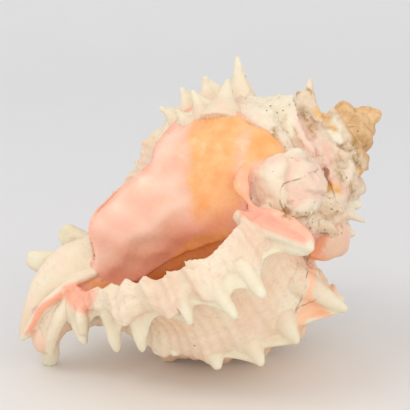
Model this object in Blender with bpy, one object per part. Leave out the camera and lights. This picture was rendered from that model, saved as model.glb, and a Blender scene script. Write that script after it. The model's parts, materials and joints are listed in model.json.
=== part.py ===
"""Murex shell with a pink mouth, lying mouth up on its ribs and spines.

The shell grew as one piece, so it is one closed solid. It is drawn first in its own growth frame: Z runs
along the coiling axis with the apex at the origin, X points to the side that lies lowest and -Y to the side
that the mouth faces. A place in that frame is given as (side, front, level) in millimetres, with front
counted along -Y. Angles back from the lip are called theta, and a turn is the angle round the axis from the
front. At the end the shell is turned to the way it lies, cut where it touches the ground, and set on it.
"""

import math

import bmesh
import bpy
import numpy as np
from mathutils import Matrix, Vector

MM = 0.001
TAU = math.tau

# Growth: each whorl is this share of the size of the one after it.
WHORL_RATIO = 0.62
TURNS = 5.3
LIP_TURN = math.radians(5)
WALL = 2.8 * MM
CAVITY_TURN = math.radians(215)

# Outer line of the last whorl at the lip, suture to neck: (distance from the axis, level).
OUTLINE_MM = (
    (30, -47), (36, -46.5), (41.5, -49), (44.5, -55), (46.5, -64), (45.5, -75), (41.5, -85.5),
    (34, -94.5), (24, -101.5), (14, -108.5), (9.5, -116), (8, -124),
)
# Inner line of the mouth at the lip, along the whorl before it and down the columella.
INNER_LINE_MM = (
    (32, -50), (30, -55), (26.5, -60), (21.5, -65), (16.5, -70), (12.5, -76), (10, -83), (8.5, -90),
    (7.5, -97), (7, -103), (6.5, -108),
)

# Varices, the thick ribs left by each halt in growth: (angle back from the lip in degrees, height share).
VARICES = (
    (11, 1.5), (54, 0.8), (92, 1.0), (133, 1.0), (176, 1.0), (219, 1.0), (262, 1.0), (307, 1.0), (352, 0.8),
    (388, 1.1), (435, 0.1), *((482 + 47 * k, 1.2) for k in range(8)),
    *((858 + 47 * k, 0.6) for k in range(4)),
)
RIB_HEIGHT = 3.2 * MM
RIB_FRONT = 8.0 * MM
RIB_BACK = 3.0 * MM
# The hollow between the last two varices: its depth, where it is and how far it spreads.
SINK = 3.0 * MM
SINK_AT = math.radians(36)
SINK_SPREAD = math.radians(15)
TIP_LEAN = 3.6 * MM

# Levels of the spine rows on the last whorl.
SPINE_LEVELS_MM = (-49.5, -61, -72, -84, -96)
# Spines of the older varices at each row: (length in mm at the lip's size, lean back, lean to the apex).
OLD_SPINES = ((14, 0.2, 0.3), (8, 0.3, 0.2), (7, 0.3, 0.0), (6, 0.3, 0.0), (5.5, 0.3, 0.0))
# Spines longer or shorter than their row: (varix, place in the row) to a share.
SPINE_SIZES = {(3, 0): 0.6, (3, 1): 0.8, (3, 2): 2.2, (3, 3): 2.1, (5, 0): 0.4}
SHORT_SPINE = 0.35

# Spines of the lip: where the rib starts at the lip's edge, root, tip, and root and tip radius.
LIP_SPINES = (
    ((0.5, 39, -55.5), (10.5, 41.0, -50.4), (20.4, 48.5, -41.4), 4.4, 2.0),
    ((3.5, 43.5, -62.0), (14, 46.0, -61.0), (25.6, 52, -60.0), 3.0, 1.3),
    ((5.0, 44, -70.0), (14.5, 45.5, -70.6), (27.6, 49, -69.8), 2.8, 1.0),
    ((5.0, 42, -78.0), (12.5, 42.5, -80.0), (22.8, 43, -82.6), 2.8, 0.9),
    ((4.5, 34.5, -90.5), (11, 31.5, -94.5), (23.6, 28, -99.4), 3.2, 0.9),
    ((3.0, 25.5, -98.5), (8, 21, -102.0), (20.4, 18, -106.8), 3.6, 0.9),
    ((-2.5, 15, -107.5), (2.5, 11, -112.0), (13.9, 10, -114.9), 3.4, 0.9),
    ((-2.0, 10, -116.0), (3, 6, -121.0), (14.4, -5, -129.0), 4.2, 2.2),
)
# Pink rim of the mouth's upper end, which runs out along the first lip spine, and the ridge beside it.
PINK_RIM = (((-9, 26, -39.5), (-9.2, 29, -45), (-6.9, 32.5, -48.9), (-2.2, 36.5, -50.2), (2.4, 39.5, -49.7),
             (7.2, 43, -46.0), (13, 46, -42.6), (19.7, 49.5, -40.6)),
            (1.2, 1.9, 2.2, 2.2, 2.1, 1.9, 1.4), 1.0)
CREAM_RIDGE = (((1.5, 38.5, -54.4), (7.9, 43, -50.6), (13.0, 46.5, -46.4), (17, 49, -43.0),
                (20.8, 49.5, -41)), (1.4, 2.2, 2.4, 2.2, 1.6), 1.0)
# Spines of the second varix: root, tip, and root and tip radius.
SECOND_SPINES = (
    ((30, 23, -47.5), (43.2, 20, -39.8), 4.6, 1.2),
    ((36.5, 22.5, -58.0), (44.2, 24, -57.8), 4.2, 1.0),
    ((37, 21.5, -70.0), (45.0, 23, -70.4), 4.0, 1.0),
    ((33.5, 19.5, -81.0), (39.6, 21, -82.4), 4.0, 1.0),
    ((24, 16.5, -90.0), (30.0, 17, -92.0), 3.8, 1.0),
)
# Rows of the older whorl that show above the shield: root, tip, and root and tip radius.
FAR_ROW = (
    ((-29.6, 0, -35.6), (-41.6, 0, -30.3), 5.2, 0.6),
    ((-34.3, 0, -45.1), (-41.0, 0, -42.2), 3.6, 1.2),
    ((-34.7, 0, -51.7), (-41.5, 0, -50.1), 3.2, 1.1),
    ((-33.7, 0, -56.9), (-39.4, 0, -59.4), 3.0, 0.8),
    ((-29.3, 0, -63.7), (-33.9, 0, -65.7), 2.4, 0.7),
    ((-26.7, 0, -68.7), (-30.4, 0, -71.1), 2.2, 0.8),
    ((-23.3, 0, -73.4), (-26.4, 0, -75.8), 2.0, 0.8),
)
NEAR_ROW = (
    ((-28.5, 13, -42.5), (-36.4, 10, -36.7), 5.6, 0.7),
    ((-31.2, 10, -48.7), (-38.8, 8, -48.0), 3.2, 0.8),
    ((-30.4, 9, -54.1), (-36.0, 7, -55.3), 2.8, 0.7),
    ((-28.2, 8, -60.6), (-32.0, 6, -62.1), 2.2, 0.7),
)
# Single spines and knobs of the spire and of the right side.
SPIRE_SPINES = (
    ((-15.5, 2, -19.8), (-24.4, 0, -13.8), 4.6, 0.6),
    ((-17.0, 2, -22.5), (-22.2, 1, -18.4), 3.6, 1.4),
    ((-4.5, 8, -17.5), (-10.0, 5, -12.2), 4.2, 0.8),
    ((-4.0, 10, -19.5), (-7.5, 12, -17.5), 3.2, 1.8),
    ((13.0, 8, -25.0), (17.6, 0, -19.9), 4.0, 2.0),
    ((16.0, 5, -26.0), (23.4, 0, -20.7), 3.6, 0.7),
    ((17.0, 20, -33.5), (21.0, 22.5, -31.6), 3.4, 0.8),
    ((7.0, 4, -15.5), (8.8, 0, -11.8), 2.6, 1.2),
)

# Webs between spines: how far each one's free edge falls back between two tips.
LIP_PULL = (0.66, 0.55, 0.52, 0.60, 0.70, 0.78, 0.8)
SECOND_PULL = (0.1, 0.25, 0.62, 0.6, 0.6, 0.6)
FAR_PULL = (0.7, 0.75, 0.7, 0.6, 0.6, 0.6)
NEAR_PULL = (0.62, 0.66, 0.6)
# Upper end of the second varix's web: (root, edge) of two columns.
COLLAR = (((26, 20, -44.5), (28.6, 12, -41.0)), ((28, 22, -46), (32.5, 15, -41.6)))
# Folds of the spire: (start, crest, edge) of each column.
SPOTTED_FOLD = (
    ((-26.4, 4, -38.6), (-27.6, 7, -35.2), (-29.6, 3, -32.2)),
    ((-21.2, 7, -36.6), (-24.2, 10, -33.1), (-26.0, 4, -29.0)),
    ((-17.2, 11, -34.1), (-21.3, 13, -29.4), (-24.7, 7, -24.7)),
    ((-13.1, 14, -33.3), (-18.4, 16, -27.4), (-22.7, 10, -21.4)),
    ((-8.3, 16, -32.3), (-13.2, 19, -27.4), (-17.7, 14.5, -22.5)),
    ((-3.6, 18, -30.2), (-8.2, 21, -26.8), (-12.0, 18.5, -24.6)),
    ((1.0, 20, -27.8), (-2.5, 22.5, -25.6), (-5.5, 20.5, -24.2)),
)
PINK_FLAP = (
    ((3.4, 10, -17.0), (2.0, 17, -20.6), (2.0, 20.5, -24.0)),
    ((7.0, 8, -17.4), (6.2, 17, -21.4), (5.2, 21.5, -24.8)),
    ((11.4, 8, -19.6), (10.2, 18, -23.4), (9.4, 22.0, -25.8)),
)

# The pink shield spread over the whorl before the mouth: (level, innermost turn, outermost turn) of the
# rows that lie on that whorl, and how far it stands above it.
SHIELD_ON_WHORL = ((-33.5, -13, -24), (-38, -16, -46), (-44, -14, -74), (-50, 0, -83), (-56, 12, -82))
SHIELD_RISE = 1.3 * MM
# Rows of its free part: level, then (turn, distance from the axis) from the columella to the free edge.
SHIELD_FREE = (
    (-62, ((15, 24), (-20, 28.5), (-48, 32.0), (-71, 33.0))),
    (-68, ((15, 19), (-17, 24.5), (-43, 29.5), (-62, 30.0))),
    (-74, ((16, 15), (-15, 21), (-38, 27), (-55, 29.6))),
    (-81, ((20, 12), (-15, 18), (-35, 25), (-51.5, 31.0))),
    (-88, ((25, 10), (-15, 15.5), (-36, 22.5), (-51.5, 30.5))),
    (-94, ((28, 9), (-15, 13.5), (-35, 19), (-49.5, 26.2))),
    (-98.5, ((28, 8.5), (-10, 12), (-30, 15), (-44, 18.7))),
    (-101.5, ((28, 8), (0, 9.5), (-15, 10.5), (-31, 11.7))),
)

# Rods along a path, as (path, radii, flattening): the columella with the canal, the canal's left wall,
# and the blunt ends of two earlier canals and of two more behind them.
COLUMELLA = (((0, 0, -55), (-1, 0, -75), (-2, 0, -90), (-2, 3, -102), (-1, 5, -112), (4, 4, -122),
              (9, 1, -129)), (9.5, 9, 8.5, 8, 7, 5.5, 3.5), 1.0)
LEFT_WALL = (((-4, 6, -90), (-9, 7, -99), (-11, 8, -107), (-8.5, 7, -115), (-3, 5, -123.5), (3, 3, -131.5)),
             (5.5, 6.0, 5.8, 5.0, 3.8, 1.6), 0.62)
OLD_CANALS = (
    (((-6, 0, -95), (-14, 0, -101), (-21, 0, -104.5)), (5.5, 4.6, 4.0, 3.5), 1.0),
    (((-7, 1, -100), (-12, 1, -110), (-18.5, 0, -118.5)), (5.5, 4.2, 3.8, 3.2), 1.0),
    (((-4, -5, -92), (-7, -13, -98), (-8, -21, -102)), (5.5, 4.6, 4.0, 3.2), 1.0),
    (((1, -4, -90), (4, -13, -95), (8, -21, -98)), (5.5, 4.6, 4.0, 3.0), 1.0),
)

# The glazed bulge beside the first spine, the knob grown over by later layers above the mouth, a lump
# that closes the gap beside it, and the lumpy crusted tip of the spire.
ORANGE_BULGE = (((17, 16, -37), (21, 11, -34), (23.6, 6, -31.6)), (8, 7.5, 5.2), 1.0)
KNOB = (((1.3, 18, -39), (1.7, 26, -38.6), (1.9, 31, -38.2), (1.9, 33.5, -38)), (13, 12.6, 10.5, 6.2), 1.0)
GAP_FILLER = (((4, 9, -19), (9, 14, -26), (13, 17, -31)), (4.5, 5.5, 5.0), 1.0)
APEX_CRUST = (
    (((-1, 0, -19), (-3, 0, -11), (-4.2, 0, -4), (-4.5, 0, 0.2)), (11, 8.6, 4.2, 0.9), 1.0),
    (((-4, 0, -12), (-9, 1, -10), (-12.6, 1, -9.4)), (5.5, 4.6, 2.0), 1.0),
    (((-4, 0, -6), (-6.5, 0, -4.5), (-8.0, 0, -3.6)), (3.6, 3.0, 1.8), 1.0),
    (((0, 0, -14), (1.6, 1, -11), (2.4, 1, -9.4)), (4.4, 3.2, 1.6), 1.0),
)

# How it lies: slope of the axis to the ground seen from the front, and how far the front is tipped up.
AXIS_SLOPE = math.radians(29.2)
FRONT_TIP = math.radians(18)
# Where the apex ends up: the ground is at height 0 and the shell's box is centred over the origin.
APEX_AT = Vector((57.97, 14.34, 72.5)) * MM

VOXEL = 1.2 * MM
FACE_RATIO = 0.08


def smooth_curve(points, share):
    """Points on one smooth curve through the given ones, at shares 0 to 1 of its length."""
    points = np.asarray(points, float)
    share = np.clip(np.asarray(share, float), 0, 1)
    chord = np.linalg.norm(np.diff(points, axis=0), axis=1)
    knots = np.concatenate([[0], np.cumsum(chord)]) / chord.sum()
    slopes = np.gradient(points, knots, axis=0)
    i = np.clip(np.searchsorted(knots, share, side="right") - 1, 0, len(knots) - 2)
    span = (knots[i + 1] - knots[i])[..., None]
    t = (share - knots[i])[..., None] / span
    return (
        (2 * t**3 - 3 * t**2 + 1) * points[i]
        + (t**3 - 2 * t**2 + t) * span * slopes[i]
        + (3 * t**2 - 2 * t**3) * points[i + 1]
        + (t**3 - t**2) * span * slopes[i + 1]
    )


def place(side, front, level):
    return np.array([side, -front, level]) * MM


def around(radius, turn, level):
    """A point of the growth frame. A turn of 0 faces the front, and one of 90 degrees is +X."""
    return np.stack([radius * np.sin(turn), -radius * np.cos(turn), level + 0 * turn], axis=-1)


def ramp(value, low, high):
    """0 below low, 1 above high, and a smooth S between them. Low may be the larger."""
    t = np.clip((np.asarray(value, float) - low) / (high - low), 0, 1)
    return t * t * (3 - 2 * t)


def share_at_level(level_mm):
    """Share of the outer line's length at which it passes a level."""
    share = np.linspace(0.1, 1, 400)
    levels = smooth_curve(OUTLINE_MM, share)[:, 1]
    return float(np.interp(-level_mm, -levels, share))


SPINE_SHARES = tuple(share_at_level(level) for level in SPINE_LEVELS_MM)


def growth(theta):
    """Size of the whorl at an angle back from the lip, against its size at the lip."""
    return WHORL_RATIO ** (theta / TAU)


def level_growth(level_mm, theta):
    """Size of the whorl along the axis. Its front part has hardly moved in the last half turn."""
    forward = np.clip((-level_mm - 50) / 25, 0, 1)
    held = 0.8 * forward * np.exp(-((theta / math.radians(300)) ** 2))
    return growth(theta) ** (1 - held)


def plain_outline(share, theta):
    """(distance from the axis, level) of the outer surface without its varices."""
    line = smooth_curve(OUTLINE_MM, share)
    radius = line[..., 0] * MM * growth(theta)
    level = line[..., 1] * MM * level_growth(line[..., 1], theta)
    return radius, level


def lip_bend(share):
    """How far the lip's edge lags or leads: it bows back at its upper end and curls over at the canal."""
    level = smooth_curve(OUTLINE_MM, share)[..., 1]
    upper = np.clip((level + 64) / 12, 0, 1) ** 1.5
    canal = np.clip((-level - 100) / 12, 0, 1.5) ** 1.5
    return -math.radians(5) * upper - math.radians(16) * canal


def cover(share, theta):
    """1 where the whorl is bare, 0 where the shield or the next whorl covers it."""
    shield_over = ramp(theta, math.radians(282), math.radians(296)) * ramp(share, 0.1, 0.2)
    shield_over = shield_over * ramp(theta, math.radians(395), math.radians(383))
    next_whorl = ramp(theta, math.radians(338), math.radians(352)) * ramp(share, 0.3, 0.4)
    return (1 - shield_over) * (1 - next_whorl)


def rib_height(share, theta):
    """How far the whorl's surface stands out at a share of its outer line and an angle."""
    out = np.zeros(np.broadcast(share, theta).shape)
    scallop = 0.5 + sum(0.9 * np.exp(-(((share - c) / 0.035) ** 2)) for c in SPINE_SHARES)
    ends = np.clip(share / 0.06, 0, 1) * np.clip((1 - share) / 0.1, 0, 1)
    for angle, height in VARICES:
        angle = math.radians(angle)
        run = (angle - theta) * growth(theta) * 42 * MM
        width = np.where(run > 0, RIB_FRONT, RIB_BACK) * growth(angle)
        out += height * growth(angle) * RIB_HEIGHT * np.exp(-((run / width) ** 2)) * scallop * ends
    return out * cover(share, theta)


def sink(share, theta):
    """How much the whorl lies lower between the last two varices, where it grew from inside the old lip."""
    ends = np.clip(share / 0.05, 0, 1) * np.clip((1 - share) / 0.2, 0, 1)
    return SINK * np.exp(-(((theta - SINK_AT) / SINK_SPREAD) ** 2)) * ends


def tip_shift(level):
    """Sideways lean of the oldest whorls, which did not grow quite on the later axis."""
    return -TIP_LEAN * ramp(level, -17 * MM, -2 * MM)


def outer_points(share, theta):
    """Points of the outer surface for arrays of shares and angles, varices included."""
    share, theta = np.broadcast_arrays(np.asarray(share, float), np.asarray(theta, float))
    step = 1e-3
    radius, level = plain_outline(share, theta)
    r_ahead, z_ahead = plain_outline(np.minimum(share + step, 1), theta)
    r_behind, z_behind = plain_outline(np.maximum(share - step, 0), theta)
    along = np.stack([r_ahead - r_behind, z_ahead - z_behind], -1)
    along /= np.linalg.norm(along, axis=-1, keepdims=True)
    rib = rib_height(share, theta)
    out = rib - sink(share, theta)
    radius = radius - along[..., 1] * out
    level = level + along[..., 0] * out
    bend = lip_bend(share) * np.exp(-theta / math.radians(25))
    turn = LIP_TURN + theta + bend + 0.6 * rib / np.maximum(radius, 4 * MM)
    points = around(radius, turn, level)
    points[..., 0] += tip_shift(level)
    return points


def whorl_radius(turn, level):
    """Distance from the axis of the whorl before the mouth, at a turn and a level."""
    share = np.linspace(0.2, 1, 200)
    radius, levels = plain_outline(share, turn - LIP_TURN + TAU)
    return np.interp(-level, -levels, radius)


def mesh_from_rings(name, rings):
    """A closed mesh: rings of equal length joined one to the next, with a fan closing each end."""
    rings = np.asarray(rings, float)
    count, around_count, _ = rings.shape
    points = np.concatenate([rings.reshape(-1, 3), rings[0].mean(0)[None], rings[-1].mean(0)[None]])
    index = np.arange(count * around_count).reshape(count, around_count)
    turned = np.roll(index, -1, axis=1)
    quads = np.stack([index[:-1], turned[:-1], turned[1:], index[1:]], -1).reshape(-1, 4)
    first, last = count * around_count, count * around_count + 1
    start = np.stack([np.full(around_count, first), turned[0], index[0]], -1)
    end = np.stack([np.full(around_count, last), index[-1], turned[-1]], -1)
    mesh = bpy.data.meshes.new(name)
    mesh.from_pydata(points.tolist(), [], quads.tolist() + start.tolist() + end.tolist())
    shape = bmesh.new()
    shape.from_mesh(mesh)
    bmesh.ops.recalc_face_normals(shape, faces=shape.faces)
    shape.to_mesh(mesh)
    shape.free()
    return mesh


def inside_section(theta, outer_count, inner_count):
    """One ring of the mouth's hollow: along the inside of the outer wall, then back down the inner line."""
    share = np.linspace(share_at_level(-52), share_at_level(-112), outer_count)
    radius, level = plain_outline(share, np.full(outer_count, theta))
    line = np.stack([radius, level], -1)
    along = np.gradient(line, axis=0)
    along /= np.linalg.norm(along, axis=1, keepdims=True)
    wall = WALL + sink(share, theta)
    wall_line = line + wall[:, None] * np.stack([along[:, 1], -along[:, 0]], -1)
    inner = smooth_curve(INNER_LINE_MM, np.linspace(1, 0, inner_count))
    inner_line = np.stack(
        [inner[:, 0] * MM * growth(theta), inner[:, 1] * MM * level_growth(inner[:, 1], theta)], -1
    )
    section = np.concatenate([wall_line, inner_line])
    shrink = 1 - 0.4 * (theta / CAVITY_TURN) ** 3
    centre = section.mean(0)
    section = centre + (section - centre) * shrink
    bend = np.concatenate([lip_bend(share), np.zeros(inner_count)]) * math.exp(-theta / math.radians(25))
    return around(section[:, 0], LIP_TURN + theta + bend, section[:, 1])


def whorls():
    """The coiled tube: outside from the apex to the lip, round the lip's edge, and back inside it."""
    outer_count, inner_count = 44, 20
    share = np.linspace(0, 1, outer_count)
    rings = []
    for theta in np.linspace(TURNS * TAU, 0, int(TURNS * 48)):
        outside = outer_points(share, theta)
        _, ends = plain_outline(np.array([1.0, 0.0]), theta)
        level = np.linspace(ends[0], ends[1], inner_count)
        radius = np.full(inner_count, -3 * MM * growth(theta))
        inside = around(radius, np.full(inner_count, LIP_TURN + theta), level)
        rings.append(np.concatenate([outside, inside]))
    for theta in np.linspace(0, CAVITY_TURN, 26):
        rings.append(inside_section(theta, outer_count, inner_count))
    return mesh_from_rings("whorls", rings)


def horn(name, path, radii, flat=1.0, side_way=(0, 0, 1), sides=10, groove=0.0, groove_at=0.0):
    """A rod along a smooth path, its radii spread evenly over it: flattened, or grooved on one side."""
    stations = 4 * len(path) + 3
    share = 1 - (1 - np.linspace(0, 1, stations)) ** 1.5
    centre = smooth_curve(path, share)
    radius = np.interp(share, np.linspace(0, 1, len(radii)), radii)
    radius *= np.sqrt(1 - 0.97 * np.clip((share - 0.93) / 0.07, 0, 1) ** 2)
    ahead = np.gradient(centre, axis=0)
    ahead /= np.linalg.norm(ahead, axis=1, keepdims=True)
    wide = np.cross(ahead, np.asarray(side_way, float))
    wide /= np.linalg.norm(wide, axis=1, keepdims=True)
    thin = np.cross(wide, ahead)
    angle = np.linspace(0, TAU, sides, endpoint=False)
    away = np.angle(np.exp(1j * (angle - groove_at)))
    reach = 1 - groove * np.exp(-((away / 0.5) ** 2))
    ring = (
        wide[:, None] * (reach * np.cos(angle))[None, :, None]
        + flat * thin[:, None] * (reach * np.sin(angle))[None, :, None]
    )
    return mesh_from_rings(name, centre[:, None] + radius[:, None, None] * ring)


def rod(name, form, sides=12):
    path, radii, flat = form
    points = [place(*point) for point in path]
    return horn(name, points, np.array(radii) * MM, flat, side_way=(0.3, 1, 0.1), sides=sides)


def old_spine(row, k):
    """Root, middle and tip of a spine on an older varix: out of the surface, leaning from the mouth."""
    theta = np.array(math.radians(VARICES[row][0]))
    length, lean_back, lean_up = OLD_SPINES[k]
    usual = SHORT_SPINE if row == 2 or row > 8 else 1
    length *= MM * growth(theta) * SPINE_SIZES.get((row, k), usual)
    c, d = np.array(SPINE_SHARES[k]), 1e-3
    root = outer_points(c, theta)
    down = outer_points(c + d, theta) - outer_points(c - d, theta)
    back = outer_points(c, theta + d) - outer_points(c, theta - d)
    down, back = down / np.linalg.norm(down), back / np.linalg.norm(back)
    out = np.cross(down, back)
    out /= np.linalg.norm(out)
    out *= np.sign(out @ np.array([root[0], root[1], 0]))
    way = out + lean_back * back - lean_up * down
    way /= np.linalg.norm(way)
    return root - 0.3 * length * out, root + 0.45 * length * (0.55 * out + 0.45 * way), root + length * way


def old_spines():
    made = []
    for row in range(2, len(VARICES)):
        angle = VARICES[row][0]
        rows_seen = 5 if angle < 250 else 0 if angle < 380 or 750 < angle < 830 else 1
        for k in range(rows_seen):
            path = old_spine(row, k)
            wide = (4.6 if k == 0 else 3.4) * MM * growth(math.radians(angle))
            radii = wide * np.array([1.15, 1.1, 0.72, 0.5, 0.3, 0.18])
            made.append(horn(f"spine_{row}_{k}", path, radii, side_way=(0.1, 0.2, 0.97)))
    return made


def lip_spines():
    """The long spines of the lip, each running on from a rib that starts at the lip's edge."""
    made = []
    for k, (start, root, tip, wide, end) in enumerate(LIP_SPINES):
        points = [place(*start), place(*root), place(*tip)]
        radii = np.array([0.35 * wide, 0.85 * wide, wide, 0.75 * wide, 0.5 * (wide + end), end]) * MM
        groove = 0.3 if k == 0 else 0.0
        made.append(horn(f"lip_spine_{k}", points, radii, side_way=(0.1, 0.2, 0.97), sides=12,
                         groove=groove, groove_at=math.radians(135)))
    return made


def second_spines():
    made = []
    for k, (root, tip, wide, end) in enumerate(SECOND_SPINES):
        root, tip = place(*root), place(*tip)
        radii = np.array([1.1 * wide, wide, 0.7 * wide, 0.5 * wide, end]) * MM
        path = [root - 0.35 * (tip - root), 0.6 * root + 0.4 * tip, tip]
        made.append(horn(f"second_spine_{k}", path, radii))
    return made


def single_spines():
    """The rows that show above the shield, and the single spines of the spire and the right side."""
    made = []
    for k, (root, tip, wide, end) in enumerate(FAR_ROW + NEAR_ROW + SPIRE_SPINES):
        root, tip = place(*root), place(*tip)
        radii = np.array([1.3 * wide, 1.0 * wide, 0.56 * wide, 0.32 * wide, end]) * MM
        path = [root - 0.4 * (tip - root), 0.65 * root + 0.35 * tip, tip]
        made.append(horn(f"single_spine_{k}", path, radii))
    return made


def web(name, start, crest, tips, pull, thick=(5.0, 3.2, 2.2), ridge=1.0, across=8, along=7):
    """A plate from a start line over its crest to a free edge that runs from tip to tip.

    Between two tips the edge falls back by a share of the way to the crest, most of all in the middle. The
    front face has a ridge at each spine, and the plate gets thinner towards the edge.
    """
    count = len(tips)
    u = np.linspace(0, count - 1, (count - 1) * along + 1)
    start = smooth_curve(start, u / (count - 1))
    crest = smooth_curve(crest, u / (count - 1))
    tips = np.asarray(tips, float)
    left = np.clip(np.floor(u).astype(int), 0, count - 2)
    s = (u - left)[:, None]
    straight = tips[left] * (1 - s) + tips[left + 1] * s
    near = 1 - np.abs(2 * s[:, 0] - 1)
    reach = 1 - np.asarray(pull, float)[left] * (1 - (1 - near) ** 2)
    edge = crest + (straight - crest) * reach[:, None]
    v = np.linspace(0, 1, across)[None, :, None]
    start, crest, edge = start[:, None], crest[:, None], edge[:, None]
    inner = start + (crest - start) * v / 0.45
    outer = crest + (edge - crest) * (v - 0.45) / 0.55
    face = np.where(v < 0.45, inner, outer) + 0.12 * np.sin(math.pi * v) * (crest - 0.5 * (start + edge))
    normal = np.cross(np.gradient(face, axis=0), np.gradient(face, axis=1))
    normal /= np.maximum(np.linalg.norm(normal, axis=-1, keepdims=True), 1e-12)
    outward = np.sign((normal * np.array([0.3, -1, 0])).sum(-1).mean())
    bell = np.exp(-((np.minimum(s, 1 - s) / 0.14) ** 2))[:, None]
    rib = ridge * MM * bell * np.sin(math.pi * np.clip(v, 0.1, 0.95))
    depth = np.interp(v[..., 0], [0, 0.5, 1], thick)[..., None] * MM
    front, back = face + outward * normal * rib, face - outward * normal * depth
    return mesh_from_rings(name, np.concatenate([front, back[:, ::-1]], axis=1))


def row_web(name, row, pull, back_by, **shape):
    """A web along a row of spines given by root and tip."""
    row = [(place(*root), place(*tip)) for root, tip, _, _ in row]
    start = [root - back_by * (tip - root) for root, tip in row]
    return web(name, start, [root for root, _ in row], [tip for _, tip in row], pull, **shape)


def webs():
    """The scalloped webs of the varices and the folds of the spire."""
    start = [place(*spine[0]) + place(4.5, -2.5, 0) for spine in LIP_SPINES]
    crest = [place(*spine[1]) for spine in LIP_SPINES]
    made = [web("lip_web", start, crest, [place(*spine[2]) for spine in LIP_SPINES], LIP_PULL)]
    second = [(place(*root), place(*tip)) for root, tip in COLLAR]
    second += [(place(*root), place(*tip)) for root, tip, _, _ in SECOND_SPINES]
    start = [root - 0.6 * (tip - root) + place(-1, -1.5, 0) for root, tip in second]
    crest = [root + 0.1 * (tip - root) for root, tip in second]
    made.append(web("second_web", start, crest, [tip for _, tip in second], SECOND_PULL))
    made.append(row_web("far_web", FAR_ROW, FAR_PULL, 0.7))
    made.append(row_web("near_web", NEAR_ROW, NEAR_PULL, 0.7))
    for name, fold in (("spotted_fold", SPOTTED_FOLD), ("pink_flap", PINK_FLAP)):
        columns = [[place(*point) for point in column] for column in fold]
        start, crest, edge = zip(*columns)
        pull = [0.1] * (len(fold) - 1)
        made.append(web(name, start, crest, edge, pull, thick=(5.0, 4.2, 2.4), ridge=0.3))
    return made


def shield_rows():
    """Control points of the shield's face, row by row from its upper end to the canal."""
    rows = []
    for level, inner, outer in SHIELD_ON_WHORL:
        turn = np.radians(np.linspace(inner, outer, 4))
        radius = np.array([whorl_radius(t, level * MM) for t in turn]) + SHIELD_RISE
        rows.append(around(radius, turn, np.full(4, level * MM)))
    for level, points in SHIELD_FREE:
        turn = np.radians([p[0] for p in points])
        radius = np.array([p[1] for p in points]) * MM
        rows.append(around(radius, turn, np.full(4, level * MM)))
    return np.array(rows)


def shield():
    """The pink shield: a plate fused to the whorl at its upper end and free at its outer edge below."""
    across, down = 20, 48
    controls = shield_rows()
    lines = np.stack([smooth_curve(row, np.linspace(0, 1, across)) for row in controls])
    face = np.stack([smooth_curve(lines[:, j], np.linspace(0, 1, down)) for j in range(across)], 1)
    normal = np.cross(np.gradient(face, axis=0), np.gradient(face, axis=1))
    normal /= np.linalg.norm(normal, axis=-1, keepdims=True)
    outward = np.sign((normal * np.array([-0.5, -1, 0])).sum(-1).mean())
    edge = np.linspace(0, 1, across)[None, :, None]
    thickness = 4.2 * MM - 2.2 * MM * edge**2
    back = face - outward * normal * thickness
    return mesh_from_rings("shield", np.concatenate([face, back[:, ::-1]], axis=1))


def lying_frame():
    """Turns the growth frame to the way the shell lies, with the front towards -Y and tipped up."""
    right = Vector((1, 0, 0))
    up = Vector((0, math.sin(FRONT_TIP), math.cos(FRONT_TIP)))
    back = Vector((0, math.cos(FRONT_TIP), -math.sin(FRONT_TIP)))
    axis = math.cos(AXIS_SLOPE) * right + math.sin(AXIS_SLOPE) * up
    side = math.sin(AXIS_SLOPE) * right - math.cos(AXIS_SLOPE) * up
    return Matrix((side, back, axis)).transposed().to_4x4()


def cut_at_ground(shape):
    """Wears the lowest spines flat: everything under height 0 goes, and each cut is closed by a flat face."""
    everything = shape.verts[:] + shape.edges[:] + shape.faces[:]
    bmesh.ops.bisect_plane(shape, geom=everything, plane_co=(0, 0, 0), plane_no=(0, 0, -1), clear_outer=True)
    rim = [edge for edge in shape.edges if edge.is_boundary]
    bmesh.ops.holes_fill(shape, edges=rim, sides=0)
    bmesh.ops.remove_doubles(shape, verts=shape.verts, dist=0.1 * MM)
    keep_largest_body(shape)
    bmesh.ops.recalc_face_normals(shape, faces=shape.faces)


def keep_largest_body(shape):
    """Removes specks that the cut leaves beside the shell."""
    left, bodies = set(shape.verts), []
    while left:
        body, edge_of_body = set(), [left.pop()]
        while edge_of_body:
            vert = edge_of_body.pop()
            body.add(vert)
            near = {edge.other_vert(vert) for edge in vert.link_edges} & left
            left -= near
            edge_of_body.extend(near)
        bodies.append(body)
    largest = max(bodies, key=len)
    bmesh.ops.delete(shape, geom=[vert for vert in shape.verts if vert not in largest], context="VERTS")


def clear_scene():
    for item in list(bpy.data.objects):
        bpy.data.objects.remove(item)


def shell_material():
    material = bpy.data.materials.new("shell_cream_and_pink")
    material.use_nodes = True
    surface = material.node_tree.nodes["Principled BSDF"]
    surface.inputs["Base Color"].default_value = (0.86, 0.66, 0.53, 1)
    surface.inputs["Roughness"].default_value = 0.45
    surface.inputs["Metallic"].default_value = 0
    return material


def grown_pieces():
    """Every form that the shell is made of, as closed meshes that reach into each other."""
    made = [whorls(), shield(), rod("columella", COLUMELLA), rod("left_wall", LEFT_WALL)]
    made += [rod(f"old_canal_{k}", form) for k, form in enumerate(OLD_CANALS)]
    made += [rod("knob", KNOB, sides=16), rod("pink_rim", PINK_RIM), rod("cream_ridge", CREAM_RIDGE)]
    made += [rod("orange_bulge", ORANGE_BULGE), rod("gap_filler", GAP_FILLER)]
    made += [rod(f"apex_crust_{k}", form, sides=7) for k, form in enumerate(APEX_CRUST)]
    return made + lip_spines() + second_spines() + old_spines() + single_spines() + webs()


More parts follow.
